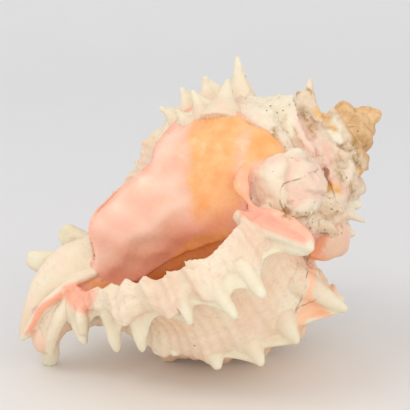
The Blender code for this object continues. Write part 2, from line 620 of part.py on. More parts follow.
def one_skin(pieces):
    """The union of the pieces as one closed mesh of few faces, lying on the ground."""
    shape = bmesh.new()
    for mesh in pieces:
        shape.from_mesh(mesh)
        bpy.data.meshes.remove(mesh)
    rough = bpy.data.meshes.new("grown_pieces")
    shape.to_mesh(rough)
    rough.transform(Matrix.Translation(APEX_AT) @ lying_frame())
    carrier = bpy.data.objects.new("grown_pieces", rough)
    bpy.context.scene.collection.objects.link(carrier)
    union = carrier.modifiers.new("union", "REMESH")
    union.mode = "VOXEL"
    union.voxel_size = VOXEL
    fewer = carrier.modifiers.new("fewer_faces", "DECIMATE")
    fewer.ratio = FACE_RATIO
    depsgraph = bpy.context.evaluated_depsgraph_get()
    skin = bpy.data.meshes.new_from_object(carrier.evaluated_get(depsgraph))
    bpy.data.objects.remove(carrier)
    shape.clear()
    shape.from_mesh(skin)
    cut_at_ground(shape)
    shape.to_mesh(skin)
    shape.free()
    return skin


def build():
    clear_scene()
    shell = bpy.data.objects.new("shell", one_skin(grown_pieces()))
    bpy.context.scene.collection.objects.link(shell)
    shell.data.name = "shell"
    shell.data.materials.append(shell_material())
    for face in shell.data.polygons:
        face.use_smooth = True
    return shell


build()
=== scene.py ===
# %% [markdown]
# # A murex shell, grown from formulas
#
# A murex is a sea snail. Its shell is a tube that winds round an axis while it widens, always by the same
# share for each turn, so the whole coil follows a few numbers. Every few weeks the animal stops, thickens
# the edge of the mouth into a rib with a row of spines (a varix), and grows on from there.
#
# A shell could be sculpted by hand. This lesson grows it from formulas instead, because then one law gives
# every whorl its size, and each number can be read and changed. Each form is a surface worked out with
# numpy from its own two parameters. The forms are fused to one skin, given their relief, and painted by
# where they lie on the animal's growth lines. Sizes are in millimetres, and are turned into metres at the
# end.
#
# The packed solid is loaded first, because the finished shell has to stay within its box.

# %% Load the frame
import json
import math

import bmesh
import bpy
import numpy as np
from mathutils import Matrix, Vector

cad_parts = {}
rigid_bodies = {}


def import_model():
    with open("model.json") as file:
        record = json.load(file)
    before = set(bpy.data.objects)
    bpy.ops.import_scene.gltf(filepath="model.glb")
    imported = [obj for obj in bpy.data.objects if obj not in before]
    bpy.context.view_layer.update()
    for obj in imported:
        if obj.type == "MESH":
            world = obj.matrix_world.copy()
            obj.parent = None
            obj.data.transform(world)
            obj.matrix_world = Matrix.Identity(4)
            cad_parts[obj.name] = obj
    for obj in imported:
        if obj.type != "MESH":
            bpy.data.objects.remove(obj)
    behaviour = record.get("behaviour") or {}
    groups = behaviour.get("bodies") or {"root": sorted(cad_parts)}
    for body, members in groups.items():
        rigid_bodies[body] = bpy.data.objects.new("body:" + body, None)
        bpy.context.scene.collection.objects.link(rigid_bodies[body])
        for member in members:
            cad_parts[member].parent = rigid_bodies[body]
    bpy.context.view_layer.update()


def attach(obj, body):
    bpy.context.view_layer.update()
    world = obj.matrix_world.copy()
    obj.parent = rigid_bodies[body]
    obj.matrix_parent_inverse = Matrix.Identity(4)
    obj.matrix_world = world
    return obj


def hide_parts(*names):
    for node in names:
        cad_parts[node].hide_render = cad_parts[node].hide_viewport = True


for left_over in list(bpy.data.objects):
    bpy.data.objects.remove(left_over, do_unlink=True)
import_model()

# %% [markdown]
# ## The shell's own frame
#
# The real shell lies tilted on its spines. It could be modelled as it lies, but then every formula would
# carry the tilt. It is easier to draw it upright on its own axis: Z runs along the coiling axis with the
# pointed end (the apex) at the origin, so levels are negative. X points to the side that lies lowest at the
# end, and -Y to the front, where the mouth is. `around` places a point by its distance from the axis, its
# turn round the axis and its level. A turn of 0 is the front.

# %% Placing points in the growth frame
MM = 0.001
TAU = math.tau


def place(side, front, level):
    """A point given by its distance to the side, to the front, and along the axis."""
    return np.array([side, -front, level], float)


def around(radius, turn, level):
    """A point given in cylinder coordinates: x = r sin(turn), y = -r cos(turn), z = level."""
    radius, turn, level = np.broadcast_arrays(radius, turn, level)
    return np.stack([radius * np.sin(turn), -radius * np.cos(turn), level], axis=-1)


print("10 mm in front of the apex:", around(10, 0, 0), "which is also", place(0, 10, 0))

# %% [markdown]
# ## The law of growth
#
# A real shell grows only at its lip, and each turn is a larger copy of the last. A spiral could be drawn by
# hand and swept, but the law is simple enough to write down: going back one turn from the lip, everything
# is 0.62 of the size. `growth` says that for any angle theta back from the lip. Along the axis the front
# part of the last whorl grows more slowly, because the canal at its end only lengthens a little from one
# rib to the next, so `level_growth` holds it back. The outline of the last whorl is a smooth curve through
# a few measured points.

# %% The outline of the last whorl
def smooth_curve(points, share):
    """Cubic curve through the points: each span blends its two ends and the slopes there. Share is 0 to 1."""
    points = np.asarray(points, float)
    share = np.clip(np.asarray(share, float), 0, 1)
    chord = np.linalg.norm(np.diff(points, axis=0), axis=1)
    knots = np.concatenate([[0], np.cumsum(chord)]) / chord.sum()
    slopes = np.gradient(points, knots, axis=0)
    i = np.clip(np.searchsorted(knots, share, side="right") - 1, 0, len(knots) - 2)
    span = (knots[i + 1] - knots[i])[..., None]
    t = (share - knots[i])[..., None] / span
    return (
        (2 * t**3 - 3 * t**2 + 1) * points[i]
        + (t**3 - 2 * t**2 + t) * span * slopes[i]
        + (3 * t**2 - 2 * t**3) * points[i + 1]
        + (t**3 - t**2) * span * slopes[i + 1]
    )


# From the seam with the whorl before it (the suture) to the neck: (distance from the axis, level).
OUTLINE = (
    (30, -47), (36, -46.5), (41.5, -49), (44.5, -55), (46.5, -64), (45.5, -75), (41.5, -85.5),
    (34, -94.5), (24, -101.5), (14, -108.5), (9.5, -116), (8, -124),
)
widest = smooth_curve(OUTLINE, np.linspace(0, 1, 200))[:, 0].max()
print("the last whorl reaches", round(float(widest), 1), "mm from the axis")

# %% Growth along the coil
WHORL_RATIO = 0.62
TURNS = 5.3
LIP_TURN = math.radians(5)
# The level below which growth along the axis is held back, over how many mm that sets in, and how much.
HELD_FROM, HELD_OVER, HELD_SHARE, HELD_TURN = 50, 25, 0.8, math.radians(300)


def growth(theta):
    """Size at an angle back from the lip: the whorl ratio to the power of the turns gone back."""
    return WHORL_RATIO ** (theta / TAU)


def level_growth(level, theta):
    """Size along the axis: growth, held back in the front part of the last turn."""
    forward = np.clip((-level - HELD_FROM) / HELD_OVER, 0, 1)
    held = HELD_SHARE * forward * np.exp(-((theta / HELD_TURN) ** 2))
    return growth(theta) ** (1 - held)


def plain_outline(share, theta):
    """(distance from the axis, level) of the whorl without ribs, at a share of its outer line."""
    line = smooth_curve(OUTLINE, share)
    return line[..., 0] * growth(theta), line[..., 1] * level_growth(line[..., 1], theta)


def share_at_level(level):
    """Share of the outer line at which it passes a level of the lip."""
    share = np.linspace(0.1, 1, 400)
    return float(np.interp(-level, -smooth_curve(OUTLINE, share)[:, 1], share))


print("whorl sizes, lip backwards:", [round(growth(TAU * k), 3) for k in range(6)])

# %% [markdown]
# ## Ribs and the lip's edge
#
# A rib climbs gently on the side of the mouth and drops steeply behind, because it was built as a lip that
# flared outwards before growth went on beneath it. Between its spines the rib dips, which gives the
# scalloped webs. Under the pink shield the animal dissolved or covered the old ribs, so they fade out
# there. Each rib could be a form of its own, but as a height added to the whorl it can't come loose from
# it.
#
# The edge of the last lip carries small teeth. They point into the mouth, and each starts a low fold that
# runs over the lip's outer face to the spines. They are bells along the same outline, so they follow its
# bend.

# %% Soft steps and bells
def ramp(value, low, high):
    """0 below low, 1 above high, and a smooth S between them. Low may be the larger."""
    t = np.clip((np.asarray(value, float) - low) / (high - low), 0, 1)
    return t * t * (3 - 2 * t)


def bump(value, centre, width):
    """A bell of height 1 at the centre."""
    return np.exp(-(((np.asarray(value, float) - centre) / width) ** 2))


print("a step half way up:", float(ramp(0.5, 0, 1)))
print("a bell one width from its centre:", round(float(bump(1, 0, 1)), 2))

# %% Ribs
SPINE_LEVELS = (-49.5, -61, -72, -84, -96)
SPINE_SHARES = tuple(share_at_level(level) for level in SPINE_LEVELS)
# (angle back from the lip in degrees, height share) of each varix.
VARICES = (
    (11, 1.5), (54, 0.8), (92, 1.0), (133, 1.0), (176, 1.0), (219, 1.0), (262, 1.0), (307, 1.0), (352, 0.8),
    (388, 1.1), (435, 0.1), *((482 + 47 * k, 1.2) for k in range(8)),
    *((858 + 47 * k, 0.6) for k in range(4)),
)
RIB_HEIGHT, RIB_FRONT, RIB_BACK = 3.2, 8.0, 3.0
WHORL_RADIUS = 42  # turns an angle into a run along the whorl at the lip's size


def cover(share, theta):
    """1 where the whorl is bare, 0 where the shield or the next whorl covers it."""
    shield = ramp(theta, math.radians(282), math.radians(296)) * ramp(share, 0.1, 0.2)
    shield = shield * ramp(theta, math.radians(395), math.radians(383))
    next_whorl = ramp(theta, math.radians(338), math.radians(352)) * ramp(share, 0.3, 0.4)
    return (1 - shield) * (1 - next_whorl)


def rib_height(share, theta):
    """Height of the ribs: a bell for each, with a gentle front and a steep back, dipping between spines."""
    out = np.zeros(np.broadcast(share, theta).shape)
    scallop = 0.5 + sum(0.9 * bump(share, c, 0.035) for c in SPINE_SHARES)
    ends = np.clip(share / 0.06, 0, 1) * np.clip((1 - share) / 0.1, 0, 1)
    for angle, height in VARICES:
        angle = math.radians(angle)
        run = (angle - theta) * growth(theta) * WHORL_RADIUS
        width = np.where(run > 0, RIB_FRONT, RIB_BACK) * growth(angle)
        out += height * growth(angle) * RIB_HEIGHT * np.exp(-((run / width) ** 2)) * scallop * ends
    return out * cover(share, theta)


second_rib = rib_height(SPINE_SHARES[1], math.radians(VARICES[1][0]))
print(len(VARICES), "ribs; the second is", round(float(second_rib), 2), "mm high at a spine")

# %% Teeth, folds and bends of the lip
# Teeth of the lip's edge: (level, length, half width).
TEETH = (
    (-54.3, 3.6, 1.1), (-57.8, 3.4, 1.1), (-75, 2.4, 1.3), (-81.5, 2.0, 1.3), (-88, 2.4, 1.4),
    (-93.5, 2.2, 1.3), (-98.5, 2.0, 1.2), (-103, 1.6, 1.2),
)
# How far the lip's edge bows at its upper end, at the canal, and backwards between them.
UPPER_BOW, CANAL_BOW, MIDDLE_BOW = math.radians(5), math.radians(16), math.radians(4.6)
SINK_DEPTH, FOLD_HEIGHT, TIP_SHIFT = 3.0, 1.3, -3.6


def sink(share, theta):
    """How much the whorl lies lower between the last two ribs, where it grew out from inside the old lip."""
    ends = np.clip(share / 0.05, 0, 1) * np.clip((1 - share) / 0.2, 0, 1)
    return SINK_DEPTH * bump(theta, math.radians(36), math.radians(15)) * ends


def tip_shift(level):
    """Sideways lean of the oldest whorls, which did not grow quite on the later axis."""
    return TIP_SHIFT * ramp(level, -17, -2)


def lip_bend(share, theta):
    """Angle by which the lip's edge bows: over the mouth at both ends, and back from it between them."""
    level = smooth_curve(OUTLINE, share)[..., 1]
    upper = np.clip((level + 64) / 12, 0, 1) ** 1.5
    canal = np.clip((-level - 100) / 12, 0, 1.5) ** 1.5
    over = UPPER_BOW * upper + CANAL_BOW * canal
    back = MIDDLE_BOW * ramp(level, -99, -82)
    return back * np.exp(-theta / math.radians(12)) - over * np.exp(-theta / math.radians(25))


def tooth_length(share):
    """How far the lip's edge reaches into the mouth: one bell for each tooth."""
    level = smooth_curve(OUTLINE, share)[..., 1]
    return sum(length * bump(level, centre, wide) for centre, length, wide in TEETH)


def fold_height(share, theta):
    """Low folds on the lip's outer face, one from each tooth, fading towards the rib."""
    level = smooth_curve(OUTLINE, share)[..., 1]
    folds = sum(bump(level, centre, 1.6) for centre, _, _ in TEETH)
    return FOLD_HEIGHT * folds * ramp(theta, math.radians(22), math.radians(6))


print(len(TEETH), "teeth, the longest", max(length for _, length, _ in TEETH), "mm")

# %% [markdown]
# ## Surfaces as grids
#
# A form could be pushed and pulled out of a ready-made cylinder. Here each is a stack of rings, because a
# formula gives all its rings at once, as an array. `tube` joins them and closes both ends with a fan, which
# gives a closed surface. Beside its points each form carries paint, eight numbers for each point that say
# what the point is on the real shell. Fusing the forms would lose that, so it is copied over afterwards.

# %% Rings to a closed surface with paint
PAINT = ("outside", "inside", "shield", "spine", "share", "theta", "crust", "knob")


def paint_of(shape, **values):
    """Paint for a grid of points: named channels, the rest 0."""
    paint = np.zeros((*shape, len(PAINT)))
    for name, value in values.items():
        paint[..., PAINT.index(name)] = value
    return paint


def tube(rings, paint):
    """Points, faces and paint of rings joined one to the next, with a fan over each end."""
    count, size, _ = rings.shape
    points = np.concatenate([rings.reshape(-1, 3), rings[:1].mean(1), rings[-1:].mean(1)])
    colours = np.concatenate([paint.reshape(-1, len(PAINT)), paint[:1].mean(1), paint[-1:].mean(1)])
    index = np.arange(count * size).reshape(count, size)
    turned = np.roll(index, -1, axis=1)
    quads = np.stack([index[:-1], turned[:-1], turned[1:], index[1:]], -1).reshape(-1, 4)
    first, last = count * size, count * size + 1
    start = np.stack([np.full(size, first), turned[0], index[0], index[0]], -1)
    end = np.stack([np.full(size, last), index[-1], turned[-1], turned[-1]], -1)
    return points, np.concatenate([quads, start, end]), colours


forms = []
PAINTED_TURN = 10  # theta is painted as a share of this many radians
print("paint channels:", ", ".join(PAINT))

# %% [markdown]
# ## The coiled tube
#
# This is the shell's body. A circle carried along a spiral would be quick, but a murex's whorl isn't round.
# So the outside is a function of two parameters: the share along the whorl's outer line and the angle theta
# back from the lip. The rings run from the apex to the lip, turn round its thin edge, and go back inside as
# the walls of the mouth's hollow, which shrinks away out of sight.

# %% Outside of the whorls
RIB_LEAN = 0.6  # how far a rib leans back for each mm of its height


def outer_points(share, theta):
    """Outer surface: the plain outline pushed out along its normal by ribs and folds, the lip's edge bent."""
    share, theta = np.broadcast_arrays(np.asarray(share, float), np.asarray(theta, float))
    step = 1e-3
    radius, level = plain_outline(share, theta)
    ahead = plain_outline(np.minimum(share + step, 1), theta)
    behind = plain_outline(np.maximum(share - step, 0), theta)
    along = np.stack([ahead[0] - behind[0], ahead[1] - behind[1]], -1)
    along /= np.linalg.norm(along, axis=-1, keepdims=True)
    rib = rib_height(share, theta)
    out = rib + fold_height(share, theta) - sink(share, theta)
    radius = radius - along[..., 1] * out
    level = level + along[..., 0] * out
    bend = lip_bend(share, theta)
    reach = tooth_length(share) * ramp(theta, math.radians(6), 0)
    turn = LIP_TURN + theta + bend + (RIB_LEAN * rib - reach) / np.maximum(radius, 4)
    points = around(radius, turn, level)
    points[..., 0] += tip_shift(level)
    return points


print("middle of the lip's edge:", outer_points(0.5, 0.0).round(1))

# %% Walls of the mouth's hollow
# Inner line of the mouth at the lip: along the whorl before it, then down the columella.
INNER_LINE = (
    (30, -50), (27, -55), (23, -60), (19.5, -65), (15.5, -70), (12, -76), (10, -83), (8.5, -90),
    (7.5, -97), (7, -103), (6.5, -108),
)
WALL = 2.8
EDGE_WALL = 1.3
CAVITY_TURN = math.radians(215)
CAVITY_SHRINKS = 0.4
HOLLOW_LEVELS = (-52, -112)


def inside_section(theta, outer_count, inner_count):
    """A ring of the mouth's hollow: the outer line moved in by the wall, then the inner line backwards."""
    share = np.linspace(*(share_at_level(level) for level in HOLLOW_LEVELS), outer_count)
    radius, level = plain_outline(share, np.full(outer_count, theta))
    line = np.stack([radius, level], -1)
    along = np.gradient(line, axis=0)
    along /= np.linalg.norm(along, axis=1, keepdims=True)
    wall = EDGE_WALL + (WALL - EDGE_WALL) * ramp(theta, 0, math.radians(14)) * np.ones(outer_count)
    wall = wall + sink(share, theta)
    wall_line = line + wall[:, None] * np.stack([along[:, 1], -along[:, 0]], -1)
    inner = smooth_curve(INNER_LINE, np.linspace(1, 0, inner_count))
    inner = np.stack([inner[:, 0] * growth(theta), inner[:, 1] * level_growth(inner[:, 1], theta)], -1)
    section = np.concatenate([wall_line, inner])
    centre = section.mean(0)
    section = centre + (section - centre) * (1 - CAVITY_SHRINKS * (theta / CAVITY_TURN) ** 3)
    bend = np.concatenate([lip_bend(share, theta), np.zeros(inner_count)])
    teeth = tooth_length(share) * ramp(theta, math.radians(5), 0) / np.maximum(radius, 4)
    bend[:outer_count] -= teeth
    return around(section[:, 0], LIP_TURN + theta + bend, section[:, 1])


print("the mouth's hollow winds", round(math.degrees(CAVITY_TURN)), "degrees back")

# %% The coiled tube as one stack of rings
def whorls(outer_count=150, inner_count=30):
    """The coiled tube as one stack of rings, outside first and then back into the mouth."""
    share = np.linspace(0, 1, outer_count)
    thetas = np.concatenate([
        np.linspace(TURNS * TAU, 1.6 * TAU, 260, endpoint=False),
        np.linspace(1.6 * TAU, math.radians(24), 260, endpoint=False),
        np.linspace(math.radians(24), 0, 36),
    ])
    rings, paint = [], []
    for theta in thetas:
        outside = outer_points(share, theta)
        _, ends = plain_outline(np.array([1.0, 0.0]), theta)
        level = np.linspace(ends[0], ends[1], inner_count)
        filler = around(-3 * growth(theta), LIP_TURN + theta, level)
        rings.append(np.concatenate([outside, filler]))
        shares = np.concatenate([share, np.linspace(1, 0, inner_count)])
        paint.append(paint_of((len(shares),), outside=1, share=shares, theta=theta / PAINTED_TURN))
    for theta in np.linspace(0, CAVITY_TURN, 60):
        ring = inside_section(theta, outer_count, inner_count)
        rings.append(ring)
        paint.append(paint_of((len(ring),), inside=1, share=shares, theta=theta / PAINTED_TURN))
    return tube(np.array(rings), np.array(paint))


forms.append(whorls())
print("coiled tube:", len(forms[-1][0]), "points")

# %% [markdown]
# ## Spines
#
# A spine is where the lip stuck out furthest while a rib was built. It could be a plain cone, but real ones
# bend, lean back and end bluntly. So a horn here is a circle carried along a curved path while it shrinks.
# Those of the lip start as low ribs at the lip's edge, run over its outer face and leave it at the varix.
# The first is the longest and has an open pink groove, where the animal's shoulder lay. Each older varix
# repeats the row at its own size.

# %% A horn: circles carried along a path
def horn(path, radii, flat=1.0, side_way=(0, 0, 1), sides=20, wobble=0.0, groove=0.0, groove_at=0.0):
    """A closed rod: rings across a smooth path with radii spread along it, rounded at the end.

    Round each ring, the reach from the path is 1, less a bell for a groove, plus three waves for a wobble.
    """
    stations = 10 * len(path) + 3
    share = 1 - (1 - np.linspace(0, 1, stations)) ** 1.5
    centre = smooth_curve(path, share)
    radius = np.interp(share, np.linspace(0, 1, len(radii)), radii)
    radius = radius * np.sqrt(1 - 0.97 * np.clip((share - 0.93) / 0.07, 0, 1) ** 2)
    ahead = np.gradient(centre, axis=0)
    ahead /= np.linalg.norm(ahead, axis=1, keepdims=True)
    wide = np.cross(ahead, np.asarray(side_way, float))
    wide /= np.linalg.norm(wide, axis=1, keepdims=True)
    thin = np.cross(wide, ahead)
    angle = np.linspace(0, TAU, sides, endpoint=False)
    away = np.angle(np.exp(1j * (angle - groove_at)))
    reach = 1 - groove * np.exp(-((away / 0.45) ** 2)) + wobble * np.cos(3 * angle)
    ring = (
        wide[:, None] * (reach * np.cos(angle))[None, :, None]
        + flat * thin[:, None] * (reach * np.sin(angle))[None, :, None]
    )
    along = np.repeat(share[:, None], sides, axis=1)
    return centre[:, None] + radius[:, None, None] * ring, along


rings, _ = horn([place(0, 0, 0), place(0, 5, 2), place(0, 10, 6)], (2, 1, 0.5))
print("a short horn:", rings.shape[0], "rings of", rings.shape[1], "points")

# %% Spines of the lip
# Spines of the lip: start of the rib at the lip's edge, root, tip, and root and tip radius.
LIP_SPINES = (
    ((0.5, 39, -55.5), (10.5, 41.0, -50.4), (20.4, 48.5, -41.4), 4.4, 2.0),
    ((7.5, 43.0, -62.0), (14, 46.0, -61.0), (25.6, 52, -60.0), 3.0, 1.3),
    ((8.5, 43.5, -70.0), (14.5, 45.5, -70.6), (27.6, 49, -69.8), 2.8, 1.0),
    ((8.0, 41.5, -78.0), (12.5, 42.5, -80.0), (22.8, 43, -82.6), 2.8, 0.9),
    ((6.0, 34.3, -90.5), (11, 31.5, -94.5), (23.6, 28, -99.4), 3.2, 0.9),
    ((3.0, 25.5, -98.5), (8, 21, -102.0), (20.4, 18, -106.8), 3.6, 0.9),
    ((-2.5, 15, -107.5), (2.5, 11, -112.0), (13.9, 10, -114.9), 3.4, 0.9),
    ((-2.0, 10, -116.0), (3, 6, -121.0), (14.4, -5, -129.0), 4.2, 2.2),
)
# Angle back from the lip, in radians, that the paint gives to each row of forms.
LIP_AGE, SECOND_AGE, SHIELD_ROW_AGE, SPIRE_AGE = 0.15, 0.95, 4.8, 11.7
MIDDLE = 0.5  # share of the outline that it gives to forms outside the outline
DEEP_GROOVE, SHALLOW_GROOVE, GROOVE_TURN = 0.5, 0.22, 2.4


def add_spine(path, radii, share, theta, **shape):
    """A horn whose paint goes from the whorl's outside at its root to spine at its tip."""
    rings, along = horn(path, radii, side_way=(0.1, 0.2, 0.97), **shape)
    paint = paint_of(along.shape, spine=along, outside=1 - along, share=share, theta=theta / PAINTED_TURN)
    forms.append(tube(rings, paint))


for k, (start, root, tip, wide, end) in enumerate(LIP_SPINES):
    radii = (0.35 * wide, 0.85 * wide, wide, 0.75 * wide, 0.5 * (wide + end), end)
    path = [place(*start), place(*root), place(*tip)]
    groove = DEEP_GROOVE if k == 0 else SHALLOW_GROOVE
    add_spine(path, radii, MIDDLE, LIP_AGE, groove=groove, groove_at=GROOVE_TURN)
print("with the lip's spines:", len(forms), "forms")

# %% Spines of the second varix
# Spines of the second varix: root, tip, and root and tip radius.
SECOND_SPINES = (
    ((30, 23, -47.5), (43.2, 20, -39.8), 4.6, 1.2),
    ((36.5, 22.5, -58.0), (44.2, 24, -57.8), 4.2, 1.0),
    ((37, 21.5, -70.0), (45.0, 23, -70.4), 4.0, 1.0),
    ((33.5, 19.5, -81.0), (39.6, 21, -82.4), 4.0, 1.0),
    ((24, 16.5, -90.0), (30.0, 17, -92.0), 3.8, 1.0),
)
for root, tip, wide, end in SECOND_SPINES:
    root, tip = place(*root), place(*tip)
    path = [root - 0.35 * (tip - root), 0.6 * root + 0.4 * tip, tip]
    add_spine(path, (1.1 * wide, wide, 0.7 * wide, 0.5 * wide, end), MIDDLE, SECOND_AGE)
print("with the second varix:", len(forms), "forms")

# %% Rows above the shield, and the spire's spines
# Rows of the older whorl that show above the shield: root, tip, and root and tip radius.
FAR_ROW = (
    ((-29.6, 0, -35.6), (-41.6, 0, -30.3), 5.2, 0.6),
    ((-34.3, 0, -45.1), (-41.0, 0, -42.2), 3.6, 1.2),
    ((-34.7, 0, -51.7), (-41.5, 0, -50.1), 3.2, 1.1),
    ((-33.7, 0, -56.9), (-39.4, 0, -59.4), 3.0, 0.8),
    ((-29.3, 0, -63.7), (-33.9, 0, -65.7), 2.4, 0.7),
    ((-26.7, 0, -68.7), (-30.4, 0, -71.1), 2.2, 0.8),
    ((-23.3, 0, -73.4), (-26.4, 0, -75.8), 2.0, 0.8),
)
NEAR_ROW = (
    ((-28.5, 13, -42.5), (-36.4, 10, -36.7), 5.6, 0.7),
    ((-31.2, 10, -48.7), (-38.8, 8, -48.0), 3.2, 0.8),
    ((-30.4, 9, -54.1), (-36.0, 7, -55.3), 2.8, 0.7),
    ((-28.2, 8, -60.6), (-32.0, 6, -62.1), 2.2, 0.7),
)
# Single spines and knobs of the spire and of the right side.
SPIRE_SPINES = (
    ((-15.5, 2, -19.8), (-24.4, 0, -13.8), 4.6, 0.6),
    ((-17.0, 2, -22.5), (-22.2, 1, -18.4), 3.6, 1.4),
    ((-4.5, 8, -17.5), (-10.0, 5, -12.2), 4.2, 0.8),
    ((-4.0, 10, -19.5), (-7.5, 12, -17.5), 3.2, 1.8),
    ((13.0, 8, -25.0), (17.6, 0, -19.9), 4.0, 2.0),
    ((16.0, 5, -26.0), (23.4, 0, -20.7), 3.6, 0.7),
    ((17.0, 20, -33.5), (21.0, 22.5, -31.6), 3.4, 0.8),
    ((7.0, 4, -15.5), (8.8, 0, -11.8), 2.6, 1.2),
)
for root, tip, wide, end in FAR_ROW + NEAR_ROW + SPIRE_SPINES:
    root, tip = place(*root), place(*tip)
    path = [root - 0.4 * (tip - root), 0.65 * root + 0.35 * tip, tip]
    add_spine(path, (1.3 * wide, 1.0 * wide, 0.56 * wide, 0.32 * wide, end), MIDDLE, SHIELD_ROW_AGE)
print("with the rows above the shield:", len(forms), "forms")

# %% Spines of the older varices
# Spines of the older varices at each row: (length at the lip's size, lean back, lean to the apex).
OLD_SPINES = ((14, 0.2, 0.3), (8, 0.3, 0.2), (7, 0.3, 0.0), (6, 0.3, 0.0), (5.5, 0.3, 0.0))
# Spines that are longer or shorter than their row: (row, place in the row) to a share.
SPINE_SIZES = {(3, 0): 0.6, (3, 1): 0.8, (3, 2): 2.2, (3, 3): 2.1, (5, 0): 0.4}
SHOULDER_WIDTH, ROW_WIDTH = 4.6, 3.4
TAPER = np.array([1.15, 1.1, 0.72, 0.5, 0.3, 0.18])


def old_spine(row, k):
    """Root, middle and tip of an older spine: out along the surface's normal, leaning from the mouth."""
    theta = np.array(math.radians(VARICES[row][0]))
    length, lean_back, lean_up = OLD_SPINES[k]
    length = length * growth(theta) * SPINE_SIZES.get((row, k), 0.35 if row == 2 or row > 8 else 1)
    c, d = np.array(SPINE_SHARES[k]), 1e-3
    root = outer_points(c, theta)
    down = outer_points(c + d, theta) - outer_points(c - d, theta)
    back = outer_points(c, theta + d) - outer_points(c, theta - d)
    down, back = down / np.linalg.norm(down), back / np.linalg.norm(back)
    out = np.cross(down, back)
    out /= np.linalg.norm(out)
    out *= np.sign(out @ np.array([root[0], root[1], 0]))
    way = out + lean_back * back - lean_up * down
    way /= np.linalg.norm(way)
    return root - 0.3 * length * out, root + 0.45 * length * (0.55 * out + 0.45 * way), root + length * way


def rows_seen(angle):
    """How many rows of spines show on a varix: all at first, none under the shield, then the first alone."""
    if angle < 250:
        return 5
    return 0 if angle < 380 or 750 < angle < 830 else 1


for row in range(2, len(VARICES)):
    angle = VARICES[row][0]
    for k in range(rows_seen(angle)):
        wide = (SHOULDER_WIDTH if k == 0 else ROW_WIDTH) * growth(math.radians(angle))
        add_spine(old_spine(row, k), wide * TAPER, SPINE_SHARES[k], math.radians(angle))
print("with all spines:", len(forms), "forms")

# %% [markdown]
# ## Webs between the spines
#
# Each varix was the flared edge of a lip, so its spines are joined by a thin web, cut out in an arc between
# one spine and the next. A flat strip with holes would look cut with scissors. So the web is a plate
# between three lines: where it leaves the lip, its crest, and its free edge. The free edge runs from tip to
# tip and is pulled back between them, most of all in the middle, which gives the arcs with no cutting.

# %% A web as a plate with a scalloped edge
TO_CREST, PAST_CREST = 0.45, 0.55  # shares of the plate on each side of its crest
RIDGE_WIDTH = 0.14


def cusp_web(start, crest, tips, pull, thick=(5.0, 2.6, 1.2), ridge=1.6, across=14, along=16, power=2.0):
    """A plate: lines through start, crest and tip points; between tips the edge falls back by a power curve.

    The front face gets a ridge at each spine, a bell across it, and the back face lies behind by a thickness
    that shrinks to the edge.
    """
    count = len(tips)
    u = np.linspace(0, count - 1, (count - 1) * along + 1)
    start, crest = smooth_curve(start, u / (count - 1)), smooth_curve(crest, u / (count - 1))
    tips = np.asarray(tips, float)
    left = np.clip(np.floor(u).astype(int), 0, count - 2)
    s = (u - left)[:, None]
    straight = tips[left] * (1 - s) + tips[left + 1] * s
    near = 1 - np.abs(2 * s[:, 0] - 1)
    reach = 1 - np.asarray(pull, float)[left] * (1 - (1 - near) ** power)
    edge = crest + (straight - crest) * reach[:, None]
    v = np.linspace(0, 1, across)[None, :, None]
    start, crest, edge = start[:, None], crest[:, None], edge[:, None]
    inner_half = start + (crest - start) * v / TO_CREST
    outer_half = crest + (edge - crest) * (v - TO_CREST) / PAST_CREST
    face = np.where(v < TO_CREST, inner_half, outer_half)
    face = face + 0.12 * np.sin(math.pi * v) * (crest - 0.5 * (start + edge))
    normal = np.cross(np.gradient(face, axis=0), np.gradient(face, axis=1))
    normal /= np.maximum(np.linalg.norm(normal, axis=-1, keepdims=True), 1e-9)
    outward = np.sign((normal * np.array([0.3, -1, 0])).sum(-1).mean())
    beside_spine = np.exp(-((np.minimum(s, 1 - s) / RIDGE_WIDTH) ** 2))[:, None]
    rib = ridge * beside_spine * np.sin(math.pi * np.clip(v, 0.1, 0.95))
    depth = np.interp(v[..., 0], [0, 0.5, 1], thick)[..., None]
    front = face + outward * normal * rib
    back = face - outward * normal * depth
    rings = np.concatenate([front, back[:, ::-1]], axis=1)
    amount = np.broadcast_to(v[..., 0], front.shape[:2])
    return rings, np.concatenate([amount, amount[:, ::-1]], axis=1)


def add_web(start, crest, tips, pull, share, theta, **shape):
    """A web whose paint goes from the whorl's outside to nearly spine at the free edge."""
    rings, amount = cusp_web(start, crest, tips, pull, **shape)
    paint = paint_of(amount.shape, spine=0.9 * amount, outside=1, share=share, theta=theta / PAINTED_TURN)
    forms.append(tube(rings, paint))

# %% Web of the lip
add_web(
    [place(*spine[0]) + place(6.0, -2.0, 0) for spine in LIP_SPINES],
    [place(*spine[1]) for spine in LIP_SPINES],
    [place(*spine[2]) for spine in LIP_SPINES],
    (0.66, 0.55, 0.52, 0.60, 0.70, 0.78, 0.8),
    MIDDLE, LIP_AGE, thick=(2.6, 2.4, 1.2), ridge=1.3,
)
print("with the lip's web:", len(forms), "forms")

# %% Web of the second varix, which ends in a collar
COLLAR = (((26, 20, -44.5), (28.6, 12, -41.0)), ((28, 22, -46), (32.5, 15, -41.6)))
second = [(place(*root), place(*tip)) for root, tip in COLLAR]
second += [(place(*root), place(*tip)) for root, tip, _, _ in SECOND_SPINES]
add_web(
    [root - 0.6 * (tip - root) + place(-1, -1.5, 0) for root, tip in second],
    [root + 0.1 * (tip - root) for root, tip in second],
    [tip for _, tip in second],
    (0.1, 0.25, 0.62, 0.6, 0.6, 0.6), MIDDLE, SECOND_AGE, ridge=0.8,
)
print("with the collar's web:", len(forms), "forms")

